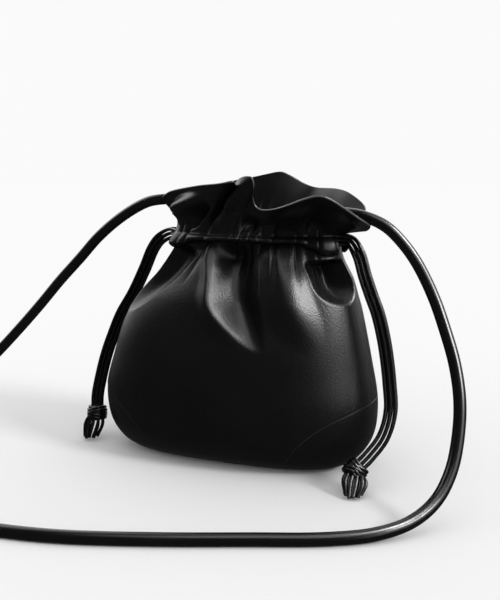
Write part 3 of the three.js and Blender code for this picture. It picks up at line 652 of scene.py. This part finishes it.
def gathers_tree():
    """Geometry Nodes: small uneven gathers that run up the leather, where the reach attribute is above 0.

    They move the leather along its out attribute, by a wave over its turn attribute."""
    tree, given, result = new_tree("Neck gathers", "GeometryNodeTree", [
        ("Geometry", "NodeSocketGeometry", None),
        ("Depth", "NodeSocketFloat", 0.0018),
        ("Gathers", "NodeSocketFloat", 26.0),
        ("Unevenness", "NodeSocketFloat", 5.0),
        ("Seed", "NodeSocketFloat", 3.0),
        ("Material", "NodeSocketMaterial", None),
    ], [("Geometry", "NodeSocketGeometry")])

    def stored(name, kind):
        found = put(tree, "GeometryNodeInputNamedAttribute", {"Name": name}, data_type=kind)
        return found.outputs["Attribute"]

    turn = stored("turn", "FLOAT")
    reach = stored("reach", "FLOAT")
    out = stored("out", "FLOAT_VECTOR")
    across = calc(tree, "COSINE", turn)
    back = calc(tree, "SINE", turn)
    around = put(tree, "ShaderNodeCombineXYZ", {
        "X": across, "Y": back, "Z": given.outputs["Seed"]}).outputs[0]
    drift = put(tree, "ShaderNodeTexNoise", {
        "Vector": around, "Scale": GATHER_DRIFT_SCALE, "Detail": 1.0}).outputs[0]
    shift = calc(tree, "MULTIPLY", calc(tree, "SUBTRACT", drift, 0.5), given.outputs["Unevenness"])
    angle = calc(tree, "ADD", calc(tree, "MULTIPLY", turn, given.outputs["Gathers"]),
                 calc(tree, "MULTIPLY", shift, GATHER_DRIFT))
    wave = calc(tree, "ABSOLUTE", calc(tree, "SINE", calc(tree, "MULTIPLY", angle, 0.5)))
    crease = calc(tree, "POWER", calc(tree, "SUBTRACT", 1.0, wave), GATHER_CREASE)
    strong = put(tree, "ShaderNodeTexNoise", {
        "Vector": around, "Scale": GATHER_DEPTH_SCALE, "Detail": 0.0}).outputs[0]
    inward = calc(tree, "MULTIPLY", reach, -2.0)
    deep = calc(tree, "MULTIPLY", calc(tree, "MULTIPLY", crease, strong), inward)
    push = calc(tree, "MULTIPLY", deep, given.outputs["Depth"])
    offset = put(tree, "ShaderNodeVectorMath", {0: out, "Scale": push}, operation="SCALE").outputs[0]
    moved = put(tree, "GeometryNodeSetPosition", {"Geometry": given.outputs["Geometry"], "Offset": offset})
    real = put(tree, "GeometryNodeRealizeInstances", {"Geometry": moved.outputs[0]})
    dressed = put(tree, "GeometryNodeSetMaterial", {
        "Geometry": real.outputs[0], "Material": given.outputs["Material"]})
    tree.links.new(dressed.outputs[0], result.inputs[0])
    return tree


def apply_tree(piece, tree, values):
    """Runs a Geometry Nodes tree on a piece, with its named inputs set, and keeps what it makes."""
    modifier = piece.modifiers.new(tree.name, "NODES")
    modifier.node_group = tree
    for item in tree.interface.items_tree:
        if item.item_type == "SOCKET" and item.in_out == "INPUT" and item.name in values:
            modifier[item.identifier] = values[item.name]
    seen = piece.evaluated_get(bpy.context.evaluated_depsgraph_get())
    mesh = bpy.data.meshes.new_from_object(seen)
    piece.modifiers.remove(modifier)
    before = piece.data
    piece.data = mesh
    bpy.data.meshes.remove(before)
    mesh.name = piece.name
    return piece


def tree_named(name, make):
    return bpy.data.node_groups.get(name) or make()


# The distance between two rings of a tightly wound cord.
FINE_STEP = 0.8 * MM


def make_cord(name, paths, diameter, material, sides=16, step=1.5 * MM):
    """A piece of round cords, each along its own line of points."""
    verts = np.concatenate(paths)
    edges = []
    start = 0
    for path in paths:
        edges += [(start + k, start + k + 1) for k in range(len(path) - 1)]
        start += len(path)
    mesh = bpy.data.meshes.new(name)
    mesh.from_pydata(verts.tolist(), edges, [])
    piece = bpy.data.objects.new(name, mesh)
    bpy.context.collection.objects.link(piece)
    return apply_tree(piece, tree_named("Rolled cord", rolled_cord_tree), {
        "Diameter": diameter, "Step": step, "Sides": sides, "Material": material})


# The leather's pattern, as noise scales a metre: where its grain bends and how far, its pores as a share of
# the grain's own scale, and the large and small clouds in which it is rubbed.
BEND_SCALE = 160.0
BEND_REACH = 0.0009
PORE_SHARE = 1.7
CLOUD_SCALE = 22.0
SMALL_CLOUD_SCALE = 75.0

# How much of the height is pebbles and how much is pores, and where and how fast a cloud starts to rub.
PEBBLE_ROUND = 1.2
PEBBLE_HEIGHT = 0.7
PORE_HEIGHT = 0.6
RUB_FROM = 0.35
RUB_RISE = 2.2


def grain_group():
    """Shader nodes: soft leather's fine pebbled grain with small pores and soft clouds of rubbing."""
    tree, given, result = new_tree("Leather grain", "ShaderNodeTree", [
        ("Size", "NodeSocketFloat", 0.0009),
        ("Rubbing", "NodeSocketFloat", 0.5),
    ], [("Height", "NodeSocketFloat"), ("Rubbed", "NodeSocketFloat"), ("Dull", "NodeSocketFloat")])
    place = put(tree, "ShaderNodeTexCoord").outputs["Object"]
    fine = calc(tree, "DIVIDE", 1.0, given.outputs["Size"])
    bend = put(tree, "ShaderNodeTexNoise", {
        "Vector": place, "Scale": BEND_SCALE, "Detail": 2.0}).outputs["Color"]
    bent = put(tree, "ShaderNodeVectorMath", {0: bend, "Scale": BEND_REACH}, operation="SCALE").outputs[0]
    warped = put(tree, "ShaderNodeVectorMath", {0: place, 1: bent}, operation="ADD").outputs[0]
    cells = put(tree, "ShaderNodeTexVoronoi", {"Vector": warped, "Scale": fine}, feature="SMOOTH_F1")
    pores = put(tree, "ShaderNodeTexNoise", {
        "Vector": place, "Scale": calc(tree, "MULTIPLY", fine, PORE_SHARE), "Detail": 3.0})
    pebble = calc(tree, "SUBTRACT", 1.0, calc(tree, "MULTIPLY", cells.outputs["Distance"], PEBBLE_ROUND))
    height = calc(tree, "ADD", calc(tree, "MULTIPLY", pebble, PEBBLE_HEIGHT),
                  calc(tree, "MULTIPLY", pores.outputs[0], PORE_HEIGHT))
    clouds = put(tree, "ShaderNodeTexNoise", {
        "Vector": place, "Scale": CLOUD_SCALE, "Detail": 4.0}).outputs[0]
    small = put(tree, "ShaderNodeTexNoise", {
        "Vector": place, "Scale": SMALL_CLOUD_SCALE, "Detail": 3.0}).outputs[0]
    soft = calc(tree, "MULTIPLY", calc(tree, "SUBTRACT", clouds, RUB_FROM), RUB_RISE)
    rubbed = calc(tree, "MULTIPLY", calc(tree, "MULTIPLY", soft, small), given.outputs["Rubbing"])
    kept = put(tree, "ShaderNodeClamp", {"Value": rubbed}).outputs[0]
    dull = put(tree, "ShaderNodeMapRange", {
        "Value": calc(tree, "ADD", calc(tree, "MULTIPLY", pores.outputs[0], 0.5), clouds),
        "From Min": 0.3, "From Max": 1.1, "To Min": -0.05, "To Max": 0.07}).outputs[0]
    for name, value in (("Height", height), ("Rubbed", kept), ("Dull", dull)):
        tree.links.new(value, result.inputs[name])
    return tree


# How each leather is finished: roughness is added to the soft leather's, grain is a share of the grain's
# size, bump is how strongly it shows, rubbing how much it is rubbed, coat how much it is polished, and
# painted how strongly its cut rims take the pale edge colour, partly their own tone and partly a painted
# highlight along them.
Finish = namedtuple("Finish", "slot roughness grain bump rubbing coat painted")
FINISHES = [
    Finish("body_leather", 0.0, 1.0, 0.32, 0.6, 0.0, 1.0),
    Finish("base_leather", 0.0, 1.0, 0.32, 0.7, 0.0, 1.0),
    Finish("collar_leather", -0.04, 0.95, 0.18, 0.5, 0.0, 1.0),
    Finish("casing_leather", -0.02, 0.95, 0.18, 0.5, 0.0, 0.0),
    Finish("strap_leather", -0.15, 0.6, 0.12, 0.4, 0.1, 0.0),
    Finish("cord_leather", -0.12, 0.5, 0.15, 0.5, 0.05, 0.0),
]

# How deep the grain is, as a share of its size, and how rough the polish is.
GRAIN_DEPTH = 0.35
POLISH_ROUGHNESS = 0.22


def leather(slot):
    """The material of one leather, made once."""
    found = bpy.data.materials.get(f"{slot}_look")
    if found:
        return found
    look = bpy.context.scene.bag_finish
    finish = next(row for row in FINISHES if row.slot == slot)
    material = bpy.data.materials.new(f"{slot}_look")
    material.use_nodes = True
    tree = material.node_tree
    tree.nodes.clear()
    grain = put(tree, "ShaderNodeGroup", node_tree=tree_named("Leather grain", grain_group))
    grain.inputs["Size"].default_value = look.grain_size * finish.grain
    grain.inputs["Rubbing"].default_value = finish.rubbing
    cut = put(tree, "ShaderNodeAttribute", attribute_name="edge").outputs["Fac"]
    colour = put(tree, "ShaderNodeMix", {
        "Factor": grain.outputs["Rubbed"], "A": (*look.leather_colour, 1), "B": (*look.worn_colour, 1)},
        data_type="RGBA", clamp_factor=True)
    # The rims take the pale edge colour: partly the cut edge's own tone, partly a painted highlight.
    pale = calc(tree, "MULTIPLY", cut, finish.painted)
    edge_and_highlight_mix = put(tree, "ShaderNodeMix", {
        "Factor": pale, "A": colour.outputs["Result"], "B": (*look.edge_and_highlight_colour, 1)},
        data_type="RGBA", clamp_factor=True)
    rough = calc(tree, "ADD", grain.outputs["Dull"], look.roughness + finish.roughness)
    bump = put(tree, "ShaderNodeBump", {
        "Height": grain.outputs["Height"], "Strength": finish.bump,
        "Distance": look.grain_size * GRAIN_DEPTH})
    shader = put(tree, "ShaderNodeBsdfPrincipled", {
        "Base Color": edge_and_highlight_mix.outputs["Result"], "Roughness": rough, "Normal": bump.outputs[0],
        "Coat Weight": finish.coat, "Coat Roughness": POLISH_ROUGHNESS})
    put(tree, "ShaderNodeOutputMaterial", {"Surface": shader.outputs[0]})
    return material


def dress(piece, slot, *nodes):
    """Gives a finished piece its material and slot, sets it under the body, and hides the solids it stands
    for.
    """
    piece.data.materials.clear()
    piece.data.materials.append(leather(slot))
    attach(piece, BODY)
    if nodes:
        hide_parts(*nodes)
    return piece


def bundle_points(side, strand, sizes):
    """One strand's line: inside the casing, through its mouth, down its bundle and to its knot."""
    shape = Shape(sizes)
    channel, level = strand
    lift = sizes.channel_height + level * (sizes.strand_diameter + STRAND_GAP)
    place = shape.place_at_height(lift) + 1
    aside = sizes.fit + STRAND_GAP + sizes.strand_diameter / 2
    points = []
    for k, past in enumerate(STRAND_TURNS):
        away = sizes.casing_mouth + past
        turn = -channel * away if side.side > 0 else 180 + channel * away
        last = k == len(STRAND_TURNS) - 1
        points.append(shape.body(turn, place, aside + (STRAND_FLARE if last else 0)))
    route = np.array(side.route)
    for k, here in enumerate(route):
        along = unit(route[min(len(route) - 1, k + 1)] - route[max(0, k - 1)])
        across = unit(np.array((0, -1, 0)) + along * along[1])
        out = unit(np.cross(across, along))
        if out[0] * here[0] < 0:
            out = -out
        points.append(here + across * channel * sizes.strand_pitch / 2 + out * level * sizes.strand_pitch)
    heading = unit(np.array(side.knot) - route[-1])
    reach = (np.array(side.knot) - points[-1]) @ heading - sizes.knot_height * KNOT_ENTRY
    if reach > 1 * MM:
        points.append(points[-1] + heading * reach)
    return points


class BAG_OT_camera(bpy.types.Operator):
    """Sets the camera in front of the bag, a little to its right and above it"""
    bl_idname = "bag.camera"
    bl_label = "Camera"

    # Where it stands, in metres, how far it looks down and how far it is turned, in degrees, and its lens
    # and film width in millimetres.
    PLACE = (0.2247, -0.5618, 0.217)
    DOWN = 9.5
    TURN = 21
    LENS = 50
    FILM = 36

    def execute(self, context):
        data = bpy.data.cameras.new("camera")
        data.lens = self.LENS
        data.sensor_width = self.FILM
        camera = bpy.data.objects.new("camera", data)
        camera.location = self.PLACE
        camera.rotation_euler = (math.radians(90 - self.DOWN), 0, math.radians(self.TURN))
        context.collection.objects.link(camera)
        context.scene.camera = camera
        return {"FINISHED"}


class BAG_OT_strap(bpy.types.Operator):
    """Lays the round strap in its loop, with the stop that keeps its end in the collar"""
    bl_idname = "bag.strap"
    bl_label = "Strap"

    # The stop's winding in degrees, then half its length, its radius and its cord as shares of its own
    # thickness.
    WINDING = 900
    WINDING_STEP = 15
    STOP_LONG = 0.25
    STOP_RADIUS = 0.24
    STOP_CORD = 0.5

    def execute(self, context):
        sizes = context.scene.bag_sizes
        points = curve_points(STRAP_ROUTE)
        strap = make_cord("round_strap", [points], sizes.strap_diameter, leather("strap_leather"), sides=28)
        dress(strap, "strap_leather", "strap")
        heading = unit(np.array(STRAP_ROUTE[0]) - np.array(STRAP_ROUTE[1]))
        middle = np.array(STRAP_ROUTE[0]) + heading * (sizes.stop_diameter / 2 + sizes.fit)
        stop = self.stop(middle, heading, sizes)
        return {"FINISHED"}

    def stop(self, middle, heading, sizes):
        """A round stop, wound from a thin end of the same rolled leather."""
        turns = np.radians(np.arange(0, self.WINDING, self.WINDING_STEP))
        side = unit(np.cross(heading, (0, 0, 1)))
        top = np.cross(side, heading)
        along = np.linspace(-self.STOP_LONG, self.STOP_LONG, len(turns)) * sizes.stop_diameter
        radius = sizes.stop_diameter * self.STOP_RADIUS
        path = [middle + heading * a + (side * math.cos(t) + top * math.sin(t)) * radius
                for a, t in zip(along, turns)]
        stop = make_cord("strap_end_stop", [np.array(path)], sizes.stop_diameter * self.STOP_CORD,
                         leather("strap_leather"), step=FINE_STEP)
        return dress(stop, "strap_leather", "strap_stop")


class BAG_OT_drawstrings(bpy.types.Operator):
    """Draws out the three doubled drawstrings at each side, down to their knots"""
    bl_idname = "bag.drawstrings"
    bl_label = "Drawstrings"

    # A direction that no knot hangs in, from which the ones across it are worked out.
    ACROSS = (0.3, 1, 0.2)

    # Half turns that each winding makes round the knot, and how many points draw it.
    WRAPS = 7
    WRAP_POINTS = 90

    # Where each of the two windings starts, in radians, and how it slants.
    WINDINGS = [(0.0, 0.25), (2.1, -0.3)]

    # How far down and up the knot a winding goes, as shares of half of its height.
    WOUND = (-0.62, 0.5)

    # The cut ends: how many there are, and their pitch where they start, bend and end.
    ENDS = 9
    PITCHES = (1.0 * MM, 0.8 * MM, 1.3 * MM)

    # Inside the knot they start a little above its middle, in two layers.
    START_ABOVE = 2 * MM
    START_APART = 3 * MM

    # They bend at a share of their way, lifted off it, and arch a little before that.
    BEND_AT = 0.62
    BEND_LIFT = 2.2 * MM
    ARCH = 0.8 * MM

    # On the floor the outer ones stay back, every second one reaches further, and some lie higher.
    FAN_BACK = 1.2 * MM
    FAN_UNEVEN = 2.2 * MM
    FAN_LIFT = 0.5 * MM
    FLOOR_GAP = 0.1 * MM

    # The heart's size as shares of the knot's half height and half width, and how finely it is rounded, in
    # rings and in degrees.
    HEART_HIGH = 0.9
    HEART_WIDE = 0.93
    HEART_RINGS = 10
    HEART_STEP = 18

    def execute(self, context):
        sizes = context.scene.bag_sizes
        for side in SIDES:
            knot = self.knot(side, sizes)
            for k, strand in enumerate(STRANDS):
                points = curve_points(bundle_points(side, strand, sizes))
                cord = make_cord(f"{side.name}_drawstring_{k + 1}", [points], sizes.strand_diameter,
                                 leather("cord_leather"), sides=14)
                dress(cord, "cord_leather", f"{side.name}_strand_{k + 1}")
        return {"FINISHED"}

    def knot(self, side, sizes):
        """A knot: cords wound round each other, over a bundle whose cut ends fan out below."""
        middle = np.array(side.knot)
        heading = unit(middle - np.array(side.route[-1]))
        across, out = self.beside(heading)
        wide = sizes.knot_width / 2 - sizes.strand_diameter / 2
        high = sizes.knot_height / 2 - sizes.strand_diameter / 2
        paths = []
        for start, slant in self.WINDINGS:
            turns = np.linspace(0, math.pi * self.WRAPS, self.WRAP_POINTS)
            level = np.linspace(*self.WOUND, len(turns))
            ring = np.sqrt(1 - level ** 2) * wide
            paths.append(np.array([
                middle + heading * (rise * high + slant * radius * math.cos(turn + start))
                + across * radius * math.cos(turn + start) + out * radius * math.sin(turn + start)
                for turn, rise, radius in zip(turns, level, ring)]))
        paths += [self.cut_end(k, side, middle, heading, sizes) for k in range(self.ENDS)]
        knot = make_cord(f"{side.name}_cord_knot", paths, sizes.strand_diameter, leather("cord_leather"),
                         sides=12, step=FINE_STEP)
        self.fill(knot, middle, heading, wide, high)
        return dress(knot, "cord_leather", f"{side.name}_knot")

    def beside(self, heading):
        """Two directions square to a knot's own."""
        across = unit(np.cross(heading, self.ACROSS))
        return across, np.cross(heading, across)

    def cut_end(self, k, side, middle, heading, sizes):
        """The line of one cut end, out of the knot, over a bend and down to the floor."""
        across, out = self.beside(heading)
        start_pitch, bend_pitch, foot_pitch = self.PITCHES
        beside = k - (self.ENDS - 1) / 2
        foot = np.array(side.tip) + np.array((
            beside * foot_pitch, abs(beside) * self.FAN_BACK - self.FAN_UNEVEN * (k % 2), 0))
        foot[2] = max(sizes.strand_diameter / 2 + self.FLOOR_GAP, foot[2] + self.FAN_LIFT * (k % 3))
        start = (middle + across * beside * start_pitch + out * (k % 2 - 0.5) * self.START_APART
                 - heading * self.START_ABOVE)
        bend = mix(start, foot, self.BEND_AT) + np.array((beside * bend_pitch, 0, self.BEND_LIFT))
        return curve_points([start, mix(start, bend, 0.5) + (0, 0, self.ARCH), bend, foot])

    def fill(self, knot, middle, heading, wide, high):
        """Puts the knot's hidden heart into its mesh, so that no light shows through the wraps."""
        count = self.HEART_RINGS
        turns = np.radians(np.arange(0, 360, self.HEART_STEP))
        across, out = self.beside(heading)
        verts = []
        for k in range(count + 1):
            centre = middle - heading * math.cos(math.pi * k / count) * high * self.HEART_HIGH
            ring = max(1e-4, math.sin(math.pi * k / count)) * wide * self.HEART_WIDE
            verts += [(centre + (across * math.cos(t) + out * math.sin(t)) * ring).tolist() for t in turns]
        n = len(turns)
        faces = [(k * n + c, k * n + (c + 1) % n, (k + 1) * n + (c + 1) % n, (k + 1) * n + c)
                 for k in range(count) for c in range(n)]
        faces.append(tuple(reversed(range(n))))
        faces.append(tuple(range(count * n, count * n + n)))
        heart = bpy.data.meshes.new("heart")
        heart.from_pydata(verts, [], faces)
        heart.shade_smooth()
        piece = bpy.data.objects.new("heart", heart)
        bpy.context.collection.objects.link(piece)
        with bpy.context.temp_override(active_object=knot, object=knot, selected_objects=[knot, piece],
                                       selected_editable_objects=[knot, piece]):
            bpy.ops.object.join()


def gather_attributes(shape, turns, reach, points):
    """What the gathers need to know of a wall: its turn, how strong they are there, and the way out."""
    away = points - np.array((shape.middle, 0, 0))
    away[..., 2] = 0
    return {"turn": np.radians(np.broadcast_to(turns, points.shape[:2])), "reach": reach, "out": unit(away)}


def gather(piece, slot, sizes):
    """Runs the neck's gathers over a wall."""
    return apply_tree(piece, tree_named("Neck gathers", gathers_tree), {
        "Depth": sizes.gather_depth, "Material": leather(slot)})


class BAG_OT_body(bpy.types.Operator):
    """Makes the front and the back of the body, with their folds"""
    bl_idname = "bag.body"
    bl_label = "Body panels"

    COLUMNS = 270
    ROWS = 150

    # The leather's slow waviness: its depth, its size and its seed, the share of the neck's height over which
    # it fades, and the share where it starts to fade out.
    WANDER = 0.6 * MM
    WANDER_SIZE = 0.045
    WANDER_SEED = 5.0
    WANDER_FULL = 0.2
    WANDER_FROM_TOP = 0.7

    def execute(self, context):
        sizes = context.scene.bag_sizes
        self.panel("front_body", "front_panel", 180, Shape(sizes), sizes)
        self.panel("back_body", "back_panel", 0, Shape(sizes), sizes)
        return {"FINISHED"}

    def panel(self, name, node, start, shape, sizes):
        base = shape.even_turns(start, start + 180, self.COLUMNS)
        rows = np.linspace(0, 1, self.ROWS)[:, None]
        seam = shape.seam_turn(base, shape.seam_place(base), start)
        low = shape.seam_place(seam) + shape.seam_step(seam)
        place = mix(low[None], float(shape.NECK), rows)
        turns = shape.seam_turn(base[None], place, start)
        points = shape.body(turns, place)
        height = points[..., 2] / sizes.neck_height
        normals = normals_of(shape.body, turns, place)
        top = (height - self.WANDER_FROM_TOP) / self.WANDER_FULL
        loose = ease(height / self.WANDER_FULL) * (1 - ease(top)) * self.WANDER
        wave = wander(points, self.WANDER_SIZE, self.WANDER_SEED) * loose
        points = points + normals * wave[..., None]
        reach = shape.gather_reach(turns, height)
        piece = wall(name, points, normals, sizes.leather, gather_attributes(shape, turns, reach, points))
        dress(gather(piece, "body_leather", sizes), "body_leather", node)


class BAG_OT_base(bpy.types.Operator):
    """Makes the base panel, with a tongue up each side"""
    bl_idname = "bag.base"
    bl_label = "Base panel"

    COLUMNS = 420
    ROWS = 60

    # The flat part of the base: its first and last place, and its rows.
    FLAT_START = 0.02
    FLAT_PLACE = 0.88
    FLAT_ROWS = 8

    def execute(self, context):
        sizes = context.scene.bag_sizes
        shape = Shape(sizes)
        turns = shape.even_turns(0, 360, self.COLUMNS + 1)[:-1]
        top = shape.seam_place(turns) - shape.seam_step(turns)
        flat = np.linspace(self.FLAT_START, self.FLAT_PLACE, self.FLAT_ROWS)[:, None] + 0 * turns
        rows = np.linspace(0, 1, self.ROWS)[1:, None]
        place = np.concatenate([flat, mix(self.FLAT_PLACE, top[None], rows)])
        points = shape.body(turns[None], place)
        normals = normals_of(shape.body, turns[None], place)
        piece = wall("base_and_tongues", points, normals, sizes.leather, {}, around=True)
        dress(piece, "base_leather", "base_panel")
        return {"FINISHED"}


class BAG_OT_collar(bpy.types.Operator):
    """Makes the two halves of the ruffled collar above the neck"""
    bl_idname = "bag.collar"
    bl_label = "Collar"

    COLUMNS = 320
    ROWS = 60

    # The ruffle's slow waviness: its depth, its size and its seed, and the share of the collar over which
    # it fades in. The gathers have faded out at a share of their own.
    WANDER = 0.5 * MM
    WANDER_SIZE = 0.03
    WANDER_SEED = 9.0
    WANDER_FULL = 0.3
    GATHERS_END = 0.6

    def execute(self, context):
        sizes = context.scene.bag_sizes
        shape = Shape(sizes)
        for name, node, start in (("front_ruffle", "front_collar", 180), ("back_ruffle", "back_collar", 0)):
            base = shape.seam_turn(np.linspace(start, start + 180, self.COLUMNS), shape.NECK, start)
            rows = np.linspace(0, 1, self.ROWS)[:, None]
            share = mix(shape.collar_foot(base)[None], 1.0, rows)
            points = shape.collar(base[None], share)
            normals = normals_of(shape.collar, base[None], share)
            loose = ease(share / self.WANDER_FULL) * self.WANDER
            wave = wander(points, self.WANDER_SIZE, self.WANDER_SEED) * loose
            points = points + normals * wave[..., None]
            reach = (1 - ease(share / self.GATHERS_END)) * shape.gathered(base)[None]
            piece = wall(name, points, normals, sizes.leather,
                         gather_attributes(shape, base[None], reach, points))
            dress(gather(piece, "collar_leather", sizes), "collar_leather", node)
        return {"FINISHED"}


class BAG_OT_casing(bpy.types.Operator):
    """Makes the two halves of the drawstring tunnel round the neck, open at both side mouths"""
    bl_idname = "bag.casing"
    bl_label = "Casing"

    COLUMNS = 260
    ROWS = 40

    # The free flap along the lower edge: its share of the casing and how far it stands off the body.
    FLAP = 0.2
    FLAP_LIFT = 1.2 * MM

    # The top edge lies down on the collar: its leather thins by one share over the casing's last part, and
    # its outer face comes down to another share of the leather.
    TOP_THIN = 0.7
    TOP_FADE = 0.3
    TOP_NEAR = 0.3

    # The section's height as a multiple of the casing's puff, and the powers that round it at both ends.
    PUFF = 2.1
    PUFF_TOP = 2
    PUFF_FOOT = 6

    # Where the lower edge starts to rise and the gathers start to show, in degrees from the side, and over
    # how many degrees.
    RISE_FROM = 26
    RISE_OVER = 30
    GATHERS_FROM = 14
    GATHERS_OVER = 8

    def execute(self, context):
        sizes = context.scene.bag_sizes
        shape = Shape(sizes)

        def face(turn, share):
            front = ease((from_side(turn) - self.RISE_FROM) / self.RISE_OVER)
            hang = mix(sizes.casing_below, sizes.casing_front, front)
            foot = 1 + shape.place_at_height(sizes.neck_height - hang)
            left = 1 - np.clip(share, 0, 1)
            puff = (sizes.fit + sizes.leather * mix(self.TOP_NEAR, 1, ease(left / self.TOP_FADE))
                    + sizes.casing_puff * self.PUFF * left ** self.PUFF_TOP * (1 - left ** self.PUFF_FOOT)
                    + self.FLAP_LIFT * (1 - ease(share / self.FLAP)))
            below = shape.body(turn, mix(foot, float(shape.NECK), np.minimum(1, 2 * share)), puff)
            above = shape.collar(turn, sizes.casing_share * np.maximum(0, 2 * share - 1), puff)
            return np.where((share < 0.5)[..., None], below, above)

        for name, node, start in (("front_tunnel", "front_casing", 180), ("back_tunnel", "back_casing", 0)):
            base = np.linspace(start + sizes.casing_mouth, start + 180 - sizes.casing_mouth, self.COLUMNS)
            turns = shape.seam_turn(base, shape.NECK, start)[None]
            share = np.linspace(0, 1, self.ROWS)[:, None] + 0 * turns
            points = face(turns, share)
            thin = self.TOP_THIN * ease((share - 1 + self.TOP_FADE) / self.TOP_FADE)
            thickness = sizes.leather * (1 - thin)
            reach = ease((from_side(turns) - self.GATHERS_FROM) / self.GATHERS_OVER) + 0 * share
            piece = wall(name, points, normals_of(face, turns, share), thickness,
                         gather_attributes(shape, turns, reach, points))
            dress(gather(piece, "casing_leather", sizes), "casing_leather", node)
        return {"FINISHED"}


class BAG_OT_stage(bpy.types.Operator):
    """Sets the pale floor and the soft studio light"""
    bl_idname = "bag.stage"
    bl_label = "Stage"

    # The way to the sun, its angle in degrees and its strength.
    SUN = ((0.83, -0.15, 0.53), 14, 1.2)

    # How bright the room is to the camera, to what it lights and where it only shows in the leather.
    WHITE = 0.955
    FILL = 0.84
    DIM = 0.05

    # What shines in the leather: the way to each soft window, the cosines where it begins and is full, and
    # its strength.
    WINDOWS = [
        ((0.52, 0.12, 0.85), 0.965, 0.996, 30.0),
        ((0.8, 0.08, 0.58), 0.94, 0.99, 12.0),
        ((0.95, -0.25, 0.15), 0.84, 0.98, 1.6),
        ((-0.76, 0.12, 0.66), 0.9, 0.985, 1.8),
        ((0.3, -0.2, 0.9), 0.84, 0.98, 2.2),
        ((-0.3, 0.9, 0.15), 0.2, 0.9, 1.5),
    ]

    # Half of the floor's side, in metres.
    FLOOR_HALF = 6.0

    def execute(self, context):
        look = context.scene.bag_finish
        mesh = bpy.data.meshes.new("floor")
        half = self.FLOOR_HALF
        corners = [(-half, -half, 0), (half, -half, 0), (half, half, 0), (-half, half, 0)]
        mesh.from_pydata(corners, [], [(0, 1, 2, 3)])
        floor = bpy.data.objects.new("floor", mesh)
        context.collection.objects.link(floor)
        mesh.materials.append(self.floor_material(look))
        way, angle, strength = self.SUN
        data = bpy.data.lights.new("key", "SUN")
        data.angle = math.radians(angle)
        data.energy = strength
        lamp = bpy.data.objects.new("key", data)
        lamp.rotation_euler = (-Vector(way)).to_track_quat("-Z", "Y").to_euler()
        context.collection.objects.link(lamp)
        self.room(context.scene)
        context.scene.view_settings.view_transform = "Standard"
        return {"FINISHED"}

    def floor_material(self, look):
        """A plain matt floor, which shows only dimly in the leather."""
        material = bpy.data.materials.new("pale_floor")
        material.use_nodes = True
        tree = material.node_tree
        tree.nodes.clear()
        glossy = put(tree, "ShaderNodeLightPath").outputs["Is Glossy Ray"]
        matt = put(tree, "ShaderNodeBsdfDiffuse", {"Color": (*look.floor_colour, 1)})
        dim = put(tree, "ShaderNodeEmission", {"Color": (1, 1, 1, 1), "Strength": self.DIM})
        both = put(tree, "ShaderNodeMixShader", {0: glossy, 1: matt.outputs[0], 2: dim.outputs[0]})
        put(tree, "ShaderNodeOutputMaterial", {"Surface": both.outputs[0]})
        return material

    def room(self, scene):
        """A white room to the camera and the floor, with soft windows that shine in the leather."""
        world = bpy.data.worlds.new("room")
        scene.world = world
        world.use_nodes = True
        world.cycles.sampling_method = "NONE"
        tree = world.node_tree
        tree.nodes.clear()
        ray = put(tree, "ShaderNodeLightPath")
        way = put(tree, "ShaderNodeTexCoord").outputs["Generated"]
        shine = self.DIM
        for middle, begins, full, strength in self.WINDOWS:
            towards = put(tree, "ShaderNodeVectorMath", {0: way, 1: Vector(middle).normalized()},
                          operation="DOT_PRODUCT").outputs["Value"]
            window = put(tree, "ShaderNodeMapRange", {
                "Value": towards, "From Min": begins, "From Max": full, "To Min": 0.0, "To Max": strength},
                interpolation_type="SMOOTHSTEP").outputs[0]
            shine = calc(tree, "ADD", window, shine)
        matt = put(tree, "ShaderNodeBackground", {"Color": (1, 1, 1, 1), "Strength": self.FILL})
        glossy = put(tree, "ShaderNodeBackground", {"Color": (1, 1, 1, 1), "Strength": shine})
        white = put(tree, "ShaderNodeBackground", {"Color": (1, 1, 1, 1), "Strength": self.WHITE})
        lit = put(tree, "ShaderNodeMixShader", {
            0: ray.outputs["Is Glossy Ray"], 1: matt.outputs[0], 2: glossy.outputs[0]})
        seen = put(tree, "ShaderNodeMixShader", {
            0: ray.outputs["Is Camera Ray"], 1: lit.outputs[0], 2: white.outputs[0]})
        put(tree, "ShaderNodeOutputWorld", {"Surface": seen.outputs[0]})


OPERATORS = [BAG_OT_camera, BAG_OT_strap, BAG_OT_drawstrings, BAG_OT_body, BAG_OT_base, BAG_OT_collar,
             BAG_OT_casing, BAG_OT_stage]


class BAG_PT_panel(bpy.types.Panel):
    """The bag's sizes, its finish and its pieces"""
    bl_idname = "BAG_PT_panel"
    bl_label = "Drawstring bag"
    bl_space_type = "VIEW_3D"
    bl_region_type = "UI"
    bl_category = "Bag"

    def draw(self, context):
        for group in (context.scene.bag_sizes, context.scene.bag_finish):
            box = self.layout.box()
            for name in group.__annotations__:
                box.prop(group, name)
        for operator in OPERATORS:
            self.layout.operator(operator.bl_idname)


CLASSES = [BagSizes, BagFinish, *OPERATORS, BAG_PT_panel]


def register():
    for item in CLASSES:
        bpy.utils.register_class(item)
    bpy.types.Scene.bag_sizes = bpy.props.PointerProperty(type=BagSizes)
    bpy.types.Scene.bag_finish = bpy.props.PointerProperty(type=BagFinish)


def unregister():
    del bpy.types.Scene.bag_sizes
    del bpy.types.Scene.bag_finish
    for item in reversed(CLASSES):
        bpy.utils.unregister_class(item)


def main():
    register()
    for operator in OPERATORS:
        group, name = operator.bl_idname.split(".")
        getattr(getattr(bpy.ops, group), name)()


if __name__ == "__main__":
    main()
